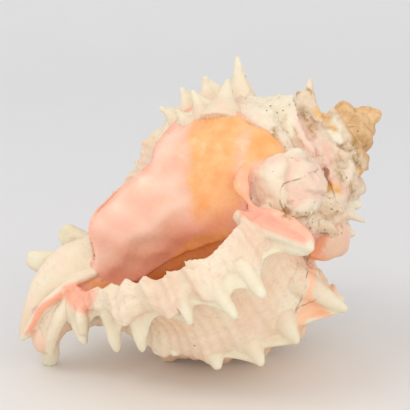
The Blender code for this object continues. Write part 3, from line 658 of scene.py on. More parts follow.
# %% Webs of the two rows above the shield
for row, pull in ((FAR_ROW, (0.7, 0.75, 0.7, 0.6, 0.6, 0.6)), (NEAR_ROW, (0.62, 0.66, 0.6))):
    row = [(place(*root), place(*tip)) for root, tip, _, _ in row]
    add_web(
        [root - 0.7 * (tip - root) for root, tip in row],
        [root for root, _ in row],
        [tip for _, tip in row],
        pull, MIDDLE, SHIELD_ROW_AGE, thick=(4.0, 2.4, 1.2), ridge=0.7,
    )
print("with the rows' webs:", len(forms), "forms")

# %% Folds of the spire
# Folds of the spire: (start, crest, edge) of each column, then how far the edge falls back between them.
SPOTTED_FOLD = (
    ((-26.4, 4, -38.6), (-27.6, 7, -35.2), (-29.6, 3, -32.2)),
    ((-21.2, 7, -36.6), (-24.2, 10, -33.1), (-26.0, 4, -29.0)),
    ((-17.2, 11, -34.1), (-21.3, 13, -29.4), (-24.7, 7, -24.7)),
    ((-13.1, 14, -33.3), (-18.4, 16, -27.4), (-22.7, 10, -21.4)),
    ((-8.3, 16, -32.3), (-13.2, 19, -27.4), (-17.7, 14.5, -22.5)),
    ((-3.6, 18, -30.2), (-8.2, 21, -26.8), (-12.0, 18.5, -24.6)),
    ((1.0, 20, -27.8), (-2.5, 22.5, -25.6), (-5.5, 20.5, -24.2)),
)
PINK_FLAP = (
    ((3.4, 10, -17.0), (2.0, 17, -20.6), (2.0, 20.5, -24.0)),
    ((7.0, 8, -17.4), (6.2, 17, -21.4), (5.2, 21.5, -24.8)),
    ((11.4, 8, -19.6), (10.2, 18, -23.4), (9.4, 22.0, -25.8)),
)
FOLD_SHARE = 0.3
for fold, pull in ((SPOTTED_FOLD, [0.1] * 6), (PINK_FLAP, [0.2] * 2)):
    columns = [[place(*point) for point in column] for column in fold]
    start, crest, edge = zip(*columns)
    add_web(
        start, crest, edge, pull, FOLD_SHARE, SPIRE_AGE, thick=(5.0, 4.0, 1.4), ridge=0.3, across=18, along=20
    )
print("with all webs:", len(forms), "forms")

# %% [markdown]
# ## The pink shield
#
# Beside the mouth the animal spread a wide glossy layer over the whorl before it. Its upper end is fused to
# that whorl and stands a little above it. Lower down it leaves the whorl and becomes a free plate, whose
# edge turns up. It could be a patch cut from the whorl, but then the free plate would be missing. So its
# face is a smooth surface through rows of four points each, from the columella out to the edge: the upper
# rows read their distance off the whorl, and the lower ones give it themselves.

# %% The shield as a surface through rows of points
# (level, innermost turn, outermost turn) of the rows that lie on the whorl.
SHIELD_ON_WHORL = ((-33.5, -13, -24), (-38, -16, -46), (-44, -14, -74), (-50, 0, -83), (-56, 12, -82))
SHIELD_RISE = 1.3
SHIELD_THICK, SHIELD_THINS = 4.2, 2.6  # thickness at the columella, and how much less it is at the edge
# Rows of the free part: level, then (turn, distance from the axis) from the columella to the free edge.
SHIELD_FREE = (
    (-62, ((15, 24), (-20, 28.5), (-48, 32.0), (-71, 33.0))),
    (-68, ((15, 19), (-17, 24.5), (-43, 29.5), (-62, 30.0))),
    (-74, ((16, 15), (-15, 21), (-38, 27), (-55, 29.6))),
    (-81, ((20, 12), (-15, 18), (-35, 25), (-51.5, 30.4))),
    (-88, ((25, 10), (-15, 15.5), (-34, 22.5), (-49.5, 28.8))),
    (-94, ((28, 9), (-15, 13.5), (-32, 19.5), (-45.0, 26.6))),
    (-98.5, ((28, 8.5), (-8, 12), (-23, 15.5), (-36, 20.4))),
    (-101.5, ((28, 8), (0, 9.5), (-15, 10.5), (-31, 11.7))),
)


def whorl_radius(turn, level):
    """Distance from the axis of the whorl before the mouth, read off its outline."""
    radius, levels = plain_outline(np.linspace(0.2, 1, 200), turn - LIP_TURN + TAU)
    return np.interp(-level, -levels, radius)


def shield(across=60, down=140):
    """A plate: the face through the rows, and its back a thickness behind it, thinner towards the edge."""
    rows = []
    for level, inner, outer in SHIELD_ON_WHORL:
        turn = np.radians(np.linspace(inner, outer, 4))
        radius = np.array([whorl_radius(t, level) for t in turn]) + SHIELD_RISE
        rows.append(around(radius, turn, level))
    for level, points in SHIELD_FREE:
        turn, radius = np.radians([p[0] for p in points]), np.array([p[1] for p in points], float)
        rows.append(around(radius, turn, level))
    lines = np.stack([smooth_curve(row, np.linspace(0, 1, across)) for row in rows])
    face = np.stack([smooth_curve(lines[:, j], np.linspace(0, 1, down)) for j in range(across)], 1)
    normal = np.cross(np.gradient(face, axis=0), np.gradient(face, axis=1))
    normal /= np.linalg.norm(normal, axis=-1, keepdims=True)
    outward = np.sign((normal * np.array([-0.5, -1, 0])).sum(-1).mean())
    edge = np.linspace(0, 1, across)[None, :, None]
    back = face - outward * normal * (SHIELD_THICK - SHIELD_THINS * edge**2)
    rings = np.concatenate([face, back[:, ::-1]], axis=1)
    front = paint_of(face.shape[:2], shield=1, share=edge[..., 0], theta=0)
    behind = paint_of(face.shape[:2], outside=0.6, shield=0.4, share=edge[..., 0])
    return tube(rings, np.concatenate([front, behind], axis=1))


forms.append(shield())
print("shield:", len(forms[-1][0]), "points")

# %% [markdown]
# ## Columella, canals, knob and tip
#
# The pillar in the middle of the coil runs out into the canal, the tube that the animal breathes through.
# Its left wall curls over the slit. Two older canals, left behind as growth went on, stick out on the left
# as blunt fingers, with two more at the back. A knob of old shell sits above the mouth, overgrown by later
# layers, and the very tip of the spire is covered by a hard tan crust. All of these are roundish and run
# along a line, so the horn of the spines serves for each, with another path, other radii and other paint.
# Folded plates would be closer for the canals, but they would need a wall thickness that the fusing can
# keep.

# %% A rod and its paint
ROD_GROOVE_TURN = 2.2


def add_rod(form, sides=28, wobble=0.0, groove=0.0, **paint):
    """A horn from a table row (path, radii, flatness). A paint value may be a function of the share along."""
    path, radii, flat = form
    path = [place(*point) for point in path]
    rings, along = horn(
        path, radii, flat, (0.3, 1, 0.1), sides, wobble=wobble, groove=groove, groove_at=ROD_GROOVE_TURN
    )
    paint = {name: value(along) if callable(value) else value for name, value in paint.items()}
    forms.append(tube(rings, paint_of(along.shape, **paint)))

# %% Columella and canals
COLUMELLA = (((0, 0, -55), (-1, 0, -75), (-2, 0, -90), (-2, 3, -102), (-1, 5, -112), (4, 4, -122),
              (9, 1, -129)), (9.5, 9, 8.5, 8, 7, 5.5, 3.5), 1.0)
LEFT_WALL = (((-4, 6, -90), (-9, 7, -99), (-10.5, 8, -107), (-8.5, 7, -115), (-3, 5, -123.5), (3, 3, -131.5)),
             (5.5, 6.0, 5.8, 5.0, 3.8, 1.6), 0.5)
CANAL_RIDGES = (
    (((-1.8, 12, -111), (2.9, 11, -117.6), (7.6, 7, -123.4), (12, 3, -126.6)), (1.2, 2.0, 1.8, 1.0), 1.0),
    (((2.5, 15, -109.9), (6.2, 15, -111.6), (10.5, 13, -113.2)), (1.2, 1.9, 1.4), 1.0),
    (((-3.9, 10.5, -100.9), (-4.6, 12, -108.5), (-3.2, 11.5, -118), (0.2, 8, -126), (3.4, 4, -132)),
     (1.0, 1.5, 1.5, 1.3, 0.8), 1.0),
)
OLD_CANALS = (
    (((-6, 0, -95), (-14, 0, -101), (-21, 0, -104.5)), (5.5, 4.8, 4.2, 3.8, 2.4), 0.8),
    (((-7, 1, -100), (-12, 1, -110), (-18.5, 0, -118.5)), (5.5, 4.4, 4.0, 3.6, 2.2), 0.75),
    (((-4, -5, -92), (-7, -13, -98), (-8, -21, -102)), (5.5, 4.6, 4.0, 3.2), 1.0),
    (((1, -4, -90), (4, -13, -95), (8, -21, -98)), (5.5, 4.6, 4.0, 3.0), 1.0),
)
add_rod(COLUMELLA, outside=0.6, shield=0.4)
add_rod(LEFT_WALL, outside=1, spine=0.35)
for canal in OLD_CANALS:
    add_rod(canal, wobble=0.14, groove=0.35, outside=1, spine=lambda along: 0.3 + 0.7 * along)
for ridge in CANAL_RIDGES:
    add_rod(ridge, sides=14, outside=1, spine=0.5)
print("with columella and canals:", len(forms), "forms")

# %% Rim, ridge, bulge and knob beside the mouth
PINK_RIM = (((-9, 26, -39.5), (-9.2, 29, -45), (-6.9, 32.5, -48.9), (-2.2, 36.5, -50.2), (2.4, 39.5, -49.7),
             (7.2, 43, -46.0), (13, 46, -42.6), (19.7, 49.5, -40.6)),
            (1.2, 1.9, 2.2, 2.2, 2.1, 1.9, 1.4), 1.0)
CREAM_RIDGE = (((1.5, 38.5, -54.4), (7.9, 43, -50.6), (13.0, 46.5, -46.4), (17, 49, -43.0),
                (20.8, 49.5, -41)), (1.4, 2.2, 2.4, 2.2, 1.6), 1.0)
ORANGE_BULGE = (((17, 16, -37), (21, 11, -34), (23.6, 6, -31.6)), (8, 7.5, 5.2), 1.0)
KNOB = (((1.3, 18, -39), (1.7, 26, -38.6), (1.9, 31, -38.2), (1.9, 33.5, -38)), (13, 12.6, 10.5, 6.2), 1.0)
GAP_FILLER = (((4, 9, -19), (9, 14, -26), (13, 17, -31)), (4.5, 5.5, 5.0), 1.0)
add_rod(PINK_RIM, shield=1)
add_rod(CREAM_RIDGE, spine=0.8, outside=0.2)
add_rod(GAP_FILLER, outside=1)
add_rod(ORANGE_BULGE, shield=1, share=0.5)
add_rod(KNOB, sides=48, knob=1, outside=1)
print("with rim, bulge and knob:", len(forms), "forms")

# %% The crusted tip
APEX_CRUST = (
    (((-1, 0, -19), (-3, 0, -11), (-4.2, 0, -4), (-4.5, 0, 0.2)), (11, 8.6, 4.2, 0.9), 1.0),
    (((-4, 0, -12), (-9, 1, -10), (-12.6, 1, -9.4)), (5.5, 4.6, 2.0), 1.0),
    (((-4, 0, -6), (-6.5, 0, -4.5), (-8.0, 0, -3.6)), (3.6, 3.0, 1.8), 1.0),
    (((0, 0, -14), (1.6, 1, -11), (2.4, 1, -9.4)), (4.4, 3.2, 1.6), 1.0),
)
for crust in APEX_CRUST:
    add_rod(crust, sides=18, crust=1)
print("all forms:", len(forms))

# %% [markdown]
# ## Fusing the forms
#
# On the real shell nothing is stuck on: spines, plates and whorls flow into each other. Boolean unions
# would join the forms, but they leave sharp seams and often fail where so many closed forms touch. A voxel
# remesh samples them all on a fine lattice and wraps one skin round them, with soft seams. The paint is
# brought over with a Data Transfer modifier, which looks up the nearest point of the separate forms.

# %% All forms in one mesh
def joined_mesh(name, parts):
    """All forms in one mesh, with the eight paint channels as two colour attributes."""
    shifts = np.cumsum([0] + [len(points) for points, _, _ in parts[:-1]])
    points = np.concatenate([points for points, _, _ in parts])
    faces = np.concatenate([faces + shift for (_, faces, _), shift in zip(parts, shifts)])
    paint = np.concatenate([colours for _, _, colours in parts])
    mesh = bpy.data.meshes.new(name)
    triangle = faces[:, 2] == faces[:, 3]
    mesh.from_pydata(points.tolist(), [], faces[~triangle].tolist() + faces[triangle, :3].tolist())
    for half, title in enumerate(("paint_a", "paint_b")):
        layer = mesh.color_attributes.new(title, "FLOAT_COLOR", "POINT")
        layer.data.foreach_set("color", paint[:, 4 * half : 4 * half + 4].astype(np.float32).ravel())
    shape = bmesh.new()
    shape.from_mesh(mesh)
    bmesh.ops.recalc_face_normals(shape, faces=shape.faces)
    shape.to_mesh(mesh)
    shape.free()
    return mesh


def linked(name, mesh):
    """A new object with this mesh, light or camera, put in the scene."""
    made = bpy.data.objects.new(name, mesh)
    bpy.context.scene.collection.objects.link(made)
    return made


source = linked("forms", joined_mesh("forms", forms))
print("separate forms:", len(source.data.vertices), "points in all")

# %% One skin, with the paint copied on to it
VOXEL = 0.6


def baked(obj, name):
    """A plain mesh of what the object's modifiers make."""
    depsgraph = bpy.context.evaluated_depsgraph_get()
    mesh = bpy.data.meshes.new_from_object(obj.evaluated_get(depsgraph))
    mesh.name = name
    return mesh


skin = linked("skin", source.data.copy())
union = skin.modifiers.new("union", "REMESH")
union.mode = "VOXEL"
union.voxel_size = VOXEL
skin.data = baked(skin, "fused")
skin.modifiers.clear()
for title in ("paint_a", "paint_b"):
    if title not in skin.data.color_attributes:
        skin.data.color_attributes.new(title, "FLOAT_COLOR", "POINT")
carry = skin.modifiers.new("paint", "DATA_TRANSFER")
carry.object = source
carry.use_vert_data = True
carry.data_types_verts = {"COLOR_VERTEX"}
carry.layers_vcol_vert_select_src = "ALL"
carry.layers_vcol_vert_select_dst = "NAME"
carry.vert_mapping = "POLYINTERP_NEAREST"
skin.data = baked(skin, "painted")
skin.modifiers.clear()
mesh = skin.data
print("one skin:", len(mesh.vertices), "points, with", [layer.name for layer in mesh.color_attributes])

# %% Paint and places of the skin as arrays
def vertex_places(mesh):
    """The places of all points as rows of three."""
    out = np.empty(len(mesh.vertices) * 3)
    mesh.vertices.foreach_get("co", out)
    return out.reshape(-1, 3)


def vertex_normals(mesh):
    """The outward directions at all points as rows of three."""
    out = np.empty(len(mesh.vertices) * 3)
    mesh.vertex_normals.foreach_get("vector", out)
    return out.reshape(-1, 3)


def colour_layer(mesh, title):
    """The four values that each point has in a colour attribute."""
    out = np.empty(len(mesh.vertices) * 4, dtype=np.float32)
    mesh.color_attributes[title].data.foreach_get("color", out)
    return out.reshape(-1, 4).astype(float)


def painted_channels(mesh):
    """The eight paint channels of each point, by name."""
    painted = np.concatenate([colour_layer(mesh, "paint_a"), colour_layer(mesh, "paint_b")], axis=1)
    return {name: painted[:, i] for i, name in enumerate(PAINT)}


spot = vertex_places(mesh)
channel = painted_channels(mesh)
channel["theta"] = channel["theta"] * PAINTED_TURN
print("highest value of each channel:", {name: round(float(v.max()), 2) for name, v in channel.items()})

# %% [markdown]
# ## Relief
#
# A shell is never smooth. Fine spiral threads run along the tube, crossed by growth lines, where each day's
# growth ended. The old part of the spire is worn, pitted and knobbly, because other animals bored into it
# and crusts grew on it. A bump map would fake this in the light, but not in the outline or in an exported
# mesh. So it is a height for each point of the skin, added up and then moved out along the normal. The
# uneven parts come from lattice noise: random values on a grid of cells, blended smoothly.

# %% Lattice noise
def hashed(cells, seed):
    """A repeatable value from 0 to 1 for each whole-numbered cell."""
    x, y, z = (cells[..., i].astype(np.int64) for i in range(3))
    h = (x * 73856093) ^ (y * 19349663) ^ (z * 83492791) ^ (seed * 2654435761)
    h = (h ^ (h >> 13)) * 1274126177
    h = h ^ (h >> 16)
    return (h & 0xFFFFFF) / float(0xFFFFFF)


def noise(points, size, seed):
    """Value noise from -1 to 1: corner values of the cell blended with a smooth S along each axis."""
    scaled = np.asarray(points, float) / size
    base = np.floor(scaled)
    t = scaled - base
    t = t * t * (3 - 2 * t)
    total = np.zeros(points.shape[:-1])
    for corner in np.ndindex(2, 2, 2):
        weight = np.prod(np.where(np.array(corner) == 1, t, 1 - t), axis=-1)
        total += weight * hashed(base + corner, seed)
    return 2 * total - 1


def layered(points, size, seed, layers=3):
    """Noise of halving size and strength, added up."""
    return sum(noise(points, size / 2**k, seed + k) / 2**k for k in range(layers)) / 1.75


print("noise over the skin: from", *(round(float(f(noise(spot, 6.0, 11))), 2) for f in (np.min, np.max)))

# %% Pits, creases and the knob's layers
def pits(points, size, seed, radius=0.4):
    """Round dents: each cell holds one point, and the value falls from 1 there to 0 at the radius."""
    scaled = np.asarray(points, float) / size
    base = np.floor(scaled)
    nearest = np.full(points.shape[:-1], 9.0)
    for step in np.ndindex(3, 3, 3):
        cell = base + (np.array(step) - 1)
        centre = cell + 0.2 + 0.6 * np.stack([hashed(cell, seed + i) for i in range(3)], -1)
        nearest = np.minimum(nearest, np.linalg.norm(scaled - centre, axis=-1))
    return ramp(nearest, radius, 0.35 * radius)


def crease_height(points):
    """0 along winding creases and higher between them: the sizes of two noises, 0 where both change sign."""
    return np.minimum(np.abs(noise(points, 6.0, 41)) + 0.6 * np.abs(noise(points, 3.0, 43)), 0.8)


def petals(points):
    """Overlapping layers of the knob: a saw wave of the turn round its middle, twisted with the distance."""
    across, up = points[..., 0] - 5.2, points[..., 2] + 37.0
    away = np.hypot(across, up)
    phase = 3.0 * np.arctan2(up, across) / TAU + 0.075 * away + 0.25 * noise(points, 5.0, 47)
    saw = phase - np.floor(phase)
    return ramp(saw, 0, 0.08) * (1 - saw) * ramp(away, 2.0, 5.0)


print("points in a crease:", round(float((crease_height(spot) < 0.15).mean()), 3), "of all")

# %% Heights of the relief
# Heights in mm: spiral threads, growth lines, grain, lumps, the knob's layers, the shield's folds and edge.
THREADS, LINES, GRAIN, LUMPS, LAYERS, FOLDS, EDGE_WAVES = 0.20, 0.24, 0.16, 0.28, 1.9, 1.2, 1.5
THREAD_COUNT, LINES_PER_RADIAN = 30, 26

size = growth(channel["theta"])
old = ramp(channel["theta"], 4.6, 7.5)
bare = channel["outside"] * (1 - channel["inside"]) * (1 - channel["shield"])
threads = np.sin(TAU * THREAD_COUNT * channel["share"]) * (1 - 0.6 * old)
lines = noise(np.stack([channel["theta"] * LINES_PER_RADIAN, channel["share"] * 3, 0 * size], -1), 1.0, 5)
lumps = layered(spot, 6.0, 11)
grain = layered(spot, 2.2, 23, 2)
dents = pits(spot, 3.6, 31, 0.36)
worn = np.maximum(old, np.maximum(channel["crust"], channel["knob"]))
relief = bare * (THREADS * size**0.5 * threads + LINES * lines)
relief += GRAIN * grain * (1 - channel["shield"]) + LUMPS * lumps * (1 - 0.7 * channel["shield"])
relief += worn * (0.5 * lumps + 0.25 * grain - 0.6 * dents + 1.1 * crease_height(spot) - 0.6)
relief += channel["knob"] * LAYERS * petals(spot) * ramp(-spot[:, 1], 20, 26)
folds = noise(spot * np.array([1.0, 1.0, 0.45]), 7.5, 91) + 0.6 * noise(spot, 5.0, 95)
edge_waves = noise(spot * np.array([0.5, 0.5, 1.0]), 6.0, 97) * ramp(channel["share"], 0.7, 1)
relief += channel["shield"] * (FOLDS * folds + EDGE_WAVES * edge_waves)
relief *= 1 - channel["inside"]
places = spot + vertex_normals(mesh) * relief[:, None]
mesh.vertices.foreach_set("co", places.ravel())
mesh.update()
print("relief from", round(float(relief.min()), 2), "to", round(float(relief.max()), 2), "mm")

# %% [markdown]
# ## Laying the shell down
#
# The real shell rests on a few spines and its lowest rib, which are worn flat there. The finished skin is
# thinned to a size that is easy to handle, turned from its own frame to how it lies, and cut level at the
# floor. The object itself could be turned instead, but then patterns and other tools would have to know
# about it. With the turn in the mesh, the object stays at the origin.

# %% How the shell lies
APEX_AT = Vector((57.97, 14.34, 72.5)) * MM
AXIS_SLOPE = math.radians(29.2)
FRONT_TIP = math.radians(18)


def lying_frame():
    """The growth frame's axes as the shell lies: side, back and axis, seen with the front tipped up."""
    right = Vector((1, 0, 0))
    up = Vector((0, math.sin(FRONT_TIP), math.cos(FRONT_TIP)))
    back = Vector((0, math.cos(FRONT_TIP), -math.sin(FRONT_TIP)))
    axis = math.cos(AXIS_SLOPE) * right + math.sin(AXIS_SLOPE) * up
    side = math.sin(AXIS_SLOPE) * right - math.cos(AXIS_SLOPE) * up
    return Matrix((side, back, axis)).transposed().to_4x4()


TO_WORLD = Matrix.Translation(APEX_AT) @ lying_frame() @ Matrix.Scale(MM, 4)
print("the apex is", round(APEX_AT.z / MM, 1), "mm above the floor")

# %% Thin out and turn over
TRIANGLES = 192000
thin = skin.modifiers.new("thin", "DECIMATE")
thin.ratio = TRIANGLES / (2 * len(mesh.vertices))
shell_mesh = baked(skin, "murex_shell")
shell_mesh.transform(TO_WORLD)
print("thinned to", len(shell_mesh.polygons), "faces")

# %% Cut level at the floor
cut = bmesh.new()
cut.from_mesh(shell_mesh)
whole = cut.verts[:] + cut.edges[:] + cut.faces[:]
cut_line = bmesh.ops.bisect_plane(cut, geom=whole, plane_co=(0, 0, 0), plane_no=(0, 0, 1), clear_inner=True)
rim = [edge for edge in cut_line["geom_cut"] if isinstance(edge, bmesh.types.BMEdge)]
flats = bmesh.ops.holes_fill(cut, edges=rim, sides=0)["faces"]
bmesh.ops.triangulate(cut, faces=flats)
cut.to_mesh(shell_mesh)
cut.free()
shell = linked("murex_shell", shell_mesh)
shell_mesh.shade_smooth()
for spare in (source, skin):
    bpy.data.objects.remove(spare, do_unlink=True)
print("shell:", len(shell_mesh.vertices), "points,", len(shell_mesh.polygons), "faces")

# %% [markdown]
# ## Paint by place
#
# The colours of the real shell lie in patches with their own outlines: a glaze over the shield, an orange
# patch in it, a pink channel, stains and cracks on the old part. An image could be wrapped round the shell,
# but it would blur, and it would need the mesh unwrapped. Here each patch is an outline or a line drawn on
# the front in millimetres, as (side, level) in the growth frame, and each point of the mesh gets a value by
# its distance to it. The values are kept in colour attributes, three to each, and the material blends by
# them.
# Some of these patches are painted light rather than colour: highlights, shade and a warm glow.

# %% Distances to lines and outlines on the front
def distance_to(line, flat):
    """Distance of points in the plane to an open line: the least of the distances to its straight pieces."""
    best = np.full(len(flat), 1e9)
    for a, b in zip(np.array(line[:-1], float), np.array(line[1:], float)):
        t = np.clip((flat - a) @ (b - a) / ((b - a) @ (b - a)), 0, 1)
        best = np.minimum(best, np.linalg.norm(flat - a - t[:, None] * (b - a), axis=1))
    return best


def stroke(line, flat, width):
    """1 on the line, falling evenly to 0 at the width."""
    return np.clip(1 - distance_to(line, flat) / width, 0, 1)


def strokes(lines, flat, width):
    """The strongest of several strokes."""
    return np.max([stroke(line, flat, width) for line in lines], axis=0)


def area(outline, flat, soft):
    """1 inside a closed outline and 0 outside, blended over the soft width. Inside is found by crossings."""
    ring = (*outline, outline[0])
    inside = np.zeros(len(flat), bool)
    for (x0, y0), (x1, y1) in zip(ring[:-1], ring[1:]):
        spans = (y0 > flat[:, 1]) != (y1 > flat[:, 1])
        crossing = x0 + (flat[:, 1] - y0) * (x1 - x0) / (y1 - y0 if y1 != y0 else 1e-9)
        inside ^= spans & (flat[:, 0] < crossing)
    signed = np.where(inside, 1, -1) * distance_to(ring, flat)
    return ramp(signed, -0.5 * soft, 0.5 * soft)


def store_colour(mesh, title, *columns):
    """Keep up to three masks, one value of each for every point, in one colour attribute."""
    layer = mesh.color_attributes.new(title, "FLOAT_COLOR", "POINT")
    values = np.ones((len(mesh.vertices), 4), dtype=np.float32)
    for i, column in enumerate(columns):
        values[:, i] = column
    layer.data.foreach_set("color", values.ravel())


print("half way off a line:", stroke(((0, 0), (10, 0)), np.array([[5.0, 1.0]]), 2.0)[0])

# %% The finished mesh in the growth frame
mark = painted_channels(shell_mesh)
grown = np.array(TO_WORLD.inverted())
spot = vertex_places(shell_mesh) @ grown[:3, :3].T + grown[:3, 3]
side, front, height = spot[:, 0], -spot[:, 1], spot[:, 2]
flat = np.stack([side, height], 1)
facing = ramp(front, -4, 4)  # 1 on the front half of the shell
uneven = layered(spot, 9.0, 71)
theta = mark["theta"] * PAINTED_TURN
print("front half:", round(float(facing.mean()), 2), "of the points")

# %% Where the surface is glazed, orange or crusted
ORANGE_PATCH = (
    (-33, -49.7), (-32.3, -46.6), (-26.9, -40.7), (-20.9, -37.8), (-15.2, -33.8), (-7.5, -32.4),
    (-3, -30), (-8.8, -38.4), (-9.6, -43.5), (-7.6, -47.3), (-4.5, -50.4), (0.3, -51.1), (1.2, -55),
    (4.1, -57.3), (1.9, -63.7), (-1.8, -67.1), (-7.9, -65.8), (-16.7, -59.8), (-25, -56.2),
)
PALE_RIDGE = (
    (-18.2, -40.8), (-14.8, -44.4), (-10, -48.1), (-5.8, -49.8),
)
PINK_CHANNEL = (
    (-2, -52.3), (0.4, -49.7), (3.6, -47.5), (8.3, -44.5), (13.2, -42.3), (16.8, -41), (16.7, -43),
    (13.1, -45.9), (7.9, -50.6), (1.5, -54.3),
)
# The collar of the second varix: an orange glaze there, strengthened as a painted glow of light through the
# thin web.
COLLAR_GLAZE_AND_GLOW = (
    (22.7, -41), (25.2, -39), (27.2, -31.8), (27.5, -37.5), (27.7, -40.7), (31, -44.6), (32.5, -46.8),
    (35.9, -47), (40.8, -44.9), (44.1, -42), (39.3, -51.3), (40.9, -56.3), (35.7, -53.4), (33.4, -50.1),
    (30.3, -46.6), (26.5, -44.1),
)
CANAL_SLIT = (
    (-4.3, -112.8), (-3.8, -116.3), (-3.7, -119.9), (-2.8, -122.8), (-0.4, -125.6), (2.1, -129.9),
    (2.4, -127.5), (0.1, -123.4), (-1.6, -120), (-2, -116.2), (-2.1, -113.3),
)
CANAL_FLAP = (
    (-5.4, -112.1), (-4.5, -108), (1.7, -102.4), (3.9, -106.1), (5.9, -109.3), (2.7, -112),
    (-0.8, -113.2),
)
# Outline of the bulge on the right, which lies in shade: it gets less glaze and a darker warm tone, painted
# shade over its pinkish orange.
BULGE = (
    (19.1, -29.9), (15.6, -23.8), (24.7, -29.2), (29.1, -32.4), (27.8, -37.2), (23.5, -37.6),
    (21.2, -34.2),
)
callus = np.clip(mark["shield"], 0, 1)
bulge_shade = area(BULGE, flat, 3.0) * facing
callus = callus * (1 - 0.6 * bulge_shade)
channel_area = area(PINK_CHANNEL, flat, 1.2) * facing
collar = area(COLLAR_GLAZE_AND_GLOW, flat, 1.2) * facing
slit = area(CANAL_SLIT, flat, 1.0) * facing
flap = area(CANAL_FLAP, flat, 1.5) * facing
orange = area(ORANGE_PATCH, flat + uneven[:, None] * 1.5, 3.0) * facing * callus
orange *= 1 - 0.8 * stroke(PALE_RIDGE, flat, 3.0)
# The collar's orange is partly its glaze and partly painted glow.
orange = np.maximum(orange, np.maximum(0.55 * collar, 0.8 * slit))
crusted = np.maximum(mark["crust"], ramp(height + 1.5 * uneven, -13.5, -11.5) * (1 - callus))
glazed = np.maximum.reduce([callus, channel_area, 0.75 * collar, slit, flap])
store_colour(shell_mesh, "zones", glazed, orange, crusted)
print("orange patch covers", round(float((orange > 0.5).mean()), 3), "of the points")

# %% Hollows, spine tips and cream parts
MOUTH_HOLLOW = (
    (3.9, -59.3), (2.7, -62.7), (1.5, -66.2), (1.3, -69.5), (1.5, -72.3), (2.1, -75.5), (3.4, -78.6),
    (4.6, -82), (5.3, -85.1), (5.2, -87.8), (8.7, -87), (10, -79.8), (10.8, -72.1), (9.9, -62.7),
    (6.9, -58.2),
)
CANAL_HOLLOW = (
    (-4.4, -107.2), (-3.2, -105.1), (-1.8, -102), (0.7, -99.5), (2.8, -97.2), (4, -95.4), (5.3, -96.8),
    (5.5, -99), (3.3, -101), (0.8, -103.1), (-2.7, -106.1),
)
PALE_FOLDS = (
    ((13.9, -63.9), (18.2, -62.7), (24.2, -61.8)),
    ((15.3, -73.2), (20.4, -72.8), (26.9, -72.5)),
    ((11.5, -78.4), (15.5, -80), (20.6, -81.5)),
)
hollow = np.clip(mark["inside"], 0, 1) * ramp(theta, 0.05, 0.6)
dark_area = area(MOUTH_HOLLOW, flat, 1.6) * np.maximum(callus, mark["inside"]) * ramp(front, 40, 36)
dark_area = np.maximum(dark_area, area(CANAL_HOLLOW, flat, 1.4) * ramp(front, 13.5, 11.5))
hollow = np.maximum(hollow, dark_area * facing)
tips = ramp(mark["spine"] + 0.15 * uneven, 0.55, 1.1)
cream = 0.8 * ramp(mark["spine"] + 0.2 * uneven, 0.15, 0.7)
cream = np.maximum(cream, 0.7 * strokes(PALE_FOLDS, flat, 2.6) * facing)
store_colour(shell_mesh, "kinds", hollow, tips, cream)
print("hollows:", round(float((hollow > 0.5).mean()), 3), "of the points")

# %% Pink with painted shade, painted highlights, painted glow and worn parts
# A band along the mouth's hollow, painted a deeper pink as painted shade where the shield turns in.
HOLLOW_BAND = (
    (4, -57.3), (1.9, -62.3), (0.4, -65.6), (-0.1, -70.1), (0.6, -73.9), (2, -78.1), (3.1, -82.1),
    (3.7, -86.6), (2.9, -91.6), (0.3, -97),
)
CREASE = (
    (-3, -57.6), (-1.3, -56.3), (1.1, -55.6), (3, -55.9), (2.5, -57.3), (-0.4, -57.7),
)
# Grooves between the pink rim and the cream ridge, painted pink as painted shade.
CHANNEL_GROOVES = (
    ((7.3, -50.3), (10.8, -47.6), (14, -44.8), (17.1, -42.3)),
    ((3.3, -50.4), (6.9, -47.4), (11.3, -44.9), (17, -41.8)),
)
# Valleys between the shield's folds, painted coral as painted shade.
CORAL_VALLEY_SHADE = (
    ((-20.1, -79.5), (-16.7, -79.7), (-14, -78.5), (-12.9, -76)),
    ((-19.8, -90.1), (-16.5, -89.2), (-13.2, -87.6), (-12, -84.8)),
    ((-19.5, -93.5), (-16, -94.6), (-11.8, -95)),
    ((-12, -93), (-8, -91), (-4, -90)),
)
# Painted highlights: pale bands along the ridges of the shield's folds, where the light catches them.
PAINTED_HIGHLIGHTS = (
    ((-8.2, -74.8), (-8.5, -70.5), (-10.3, -65.7)),
    ((-24, -68), (-27, -63), (-29, -58)),
    ((-20, -74), (-17, -71), (-15, -66)),
    ((-9, -86), (-6, -83), (-4, -78)),
    ((-18, -84), (-21, -81), (-23, -76)),
)
PITTED = (
    (7.7, -34.7), (8.7, -30.4), (12.9, -24.2), (17.8, -25.9), (22.7, -30), (19, -35.5), (14.5, -38.5),
)
hollow_shade_band = stroke(HOLLOW_BAND, flat, 7.0) * callus * facing
crease = area(CREASE, flat, 1.5) * facing * callus
rim = callus * ramp(mark["share"], 0.88, 0.99) * ramp(height, -52, -60)
groove_shade = strokes(CHANNEL_GROOVES, flat, 1.5) * facing * ramp(front, 36, 40)
# Pink is the channel, the rim, the slit, the flap and a crease, and painted shade by the hollow, in the
# grooves and in the shield's valleys.
pink = np.maximum.reduce([
    0.5 * channel_area, groove_shade, 0.75 * rim, 0.8 * slit, 0.35 * flap, 0.7 * hollow_shade_band, 0.6 * crease
])
pink = np.maximum(pink, 0.5 * strokes(CORAL_VALLEY_SHADE, flat + uneven[:, None] * 2, 4.5) * callus * facing)
# Painted light on the shield: the highlight bands, and a paler lower part that stands in for light where that
# part lies in shade.
painted_shield_light = np.maximum(strokes(PAINTED_HIGHLIGHTS, flat + uneven[:, None] * 3, 5.0), 0.7 * ramp(height, -68, -90))
painted_shield_light *= callus * facing
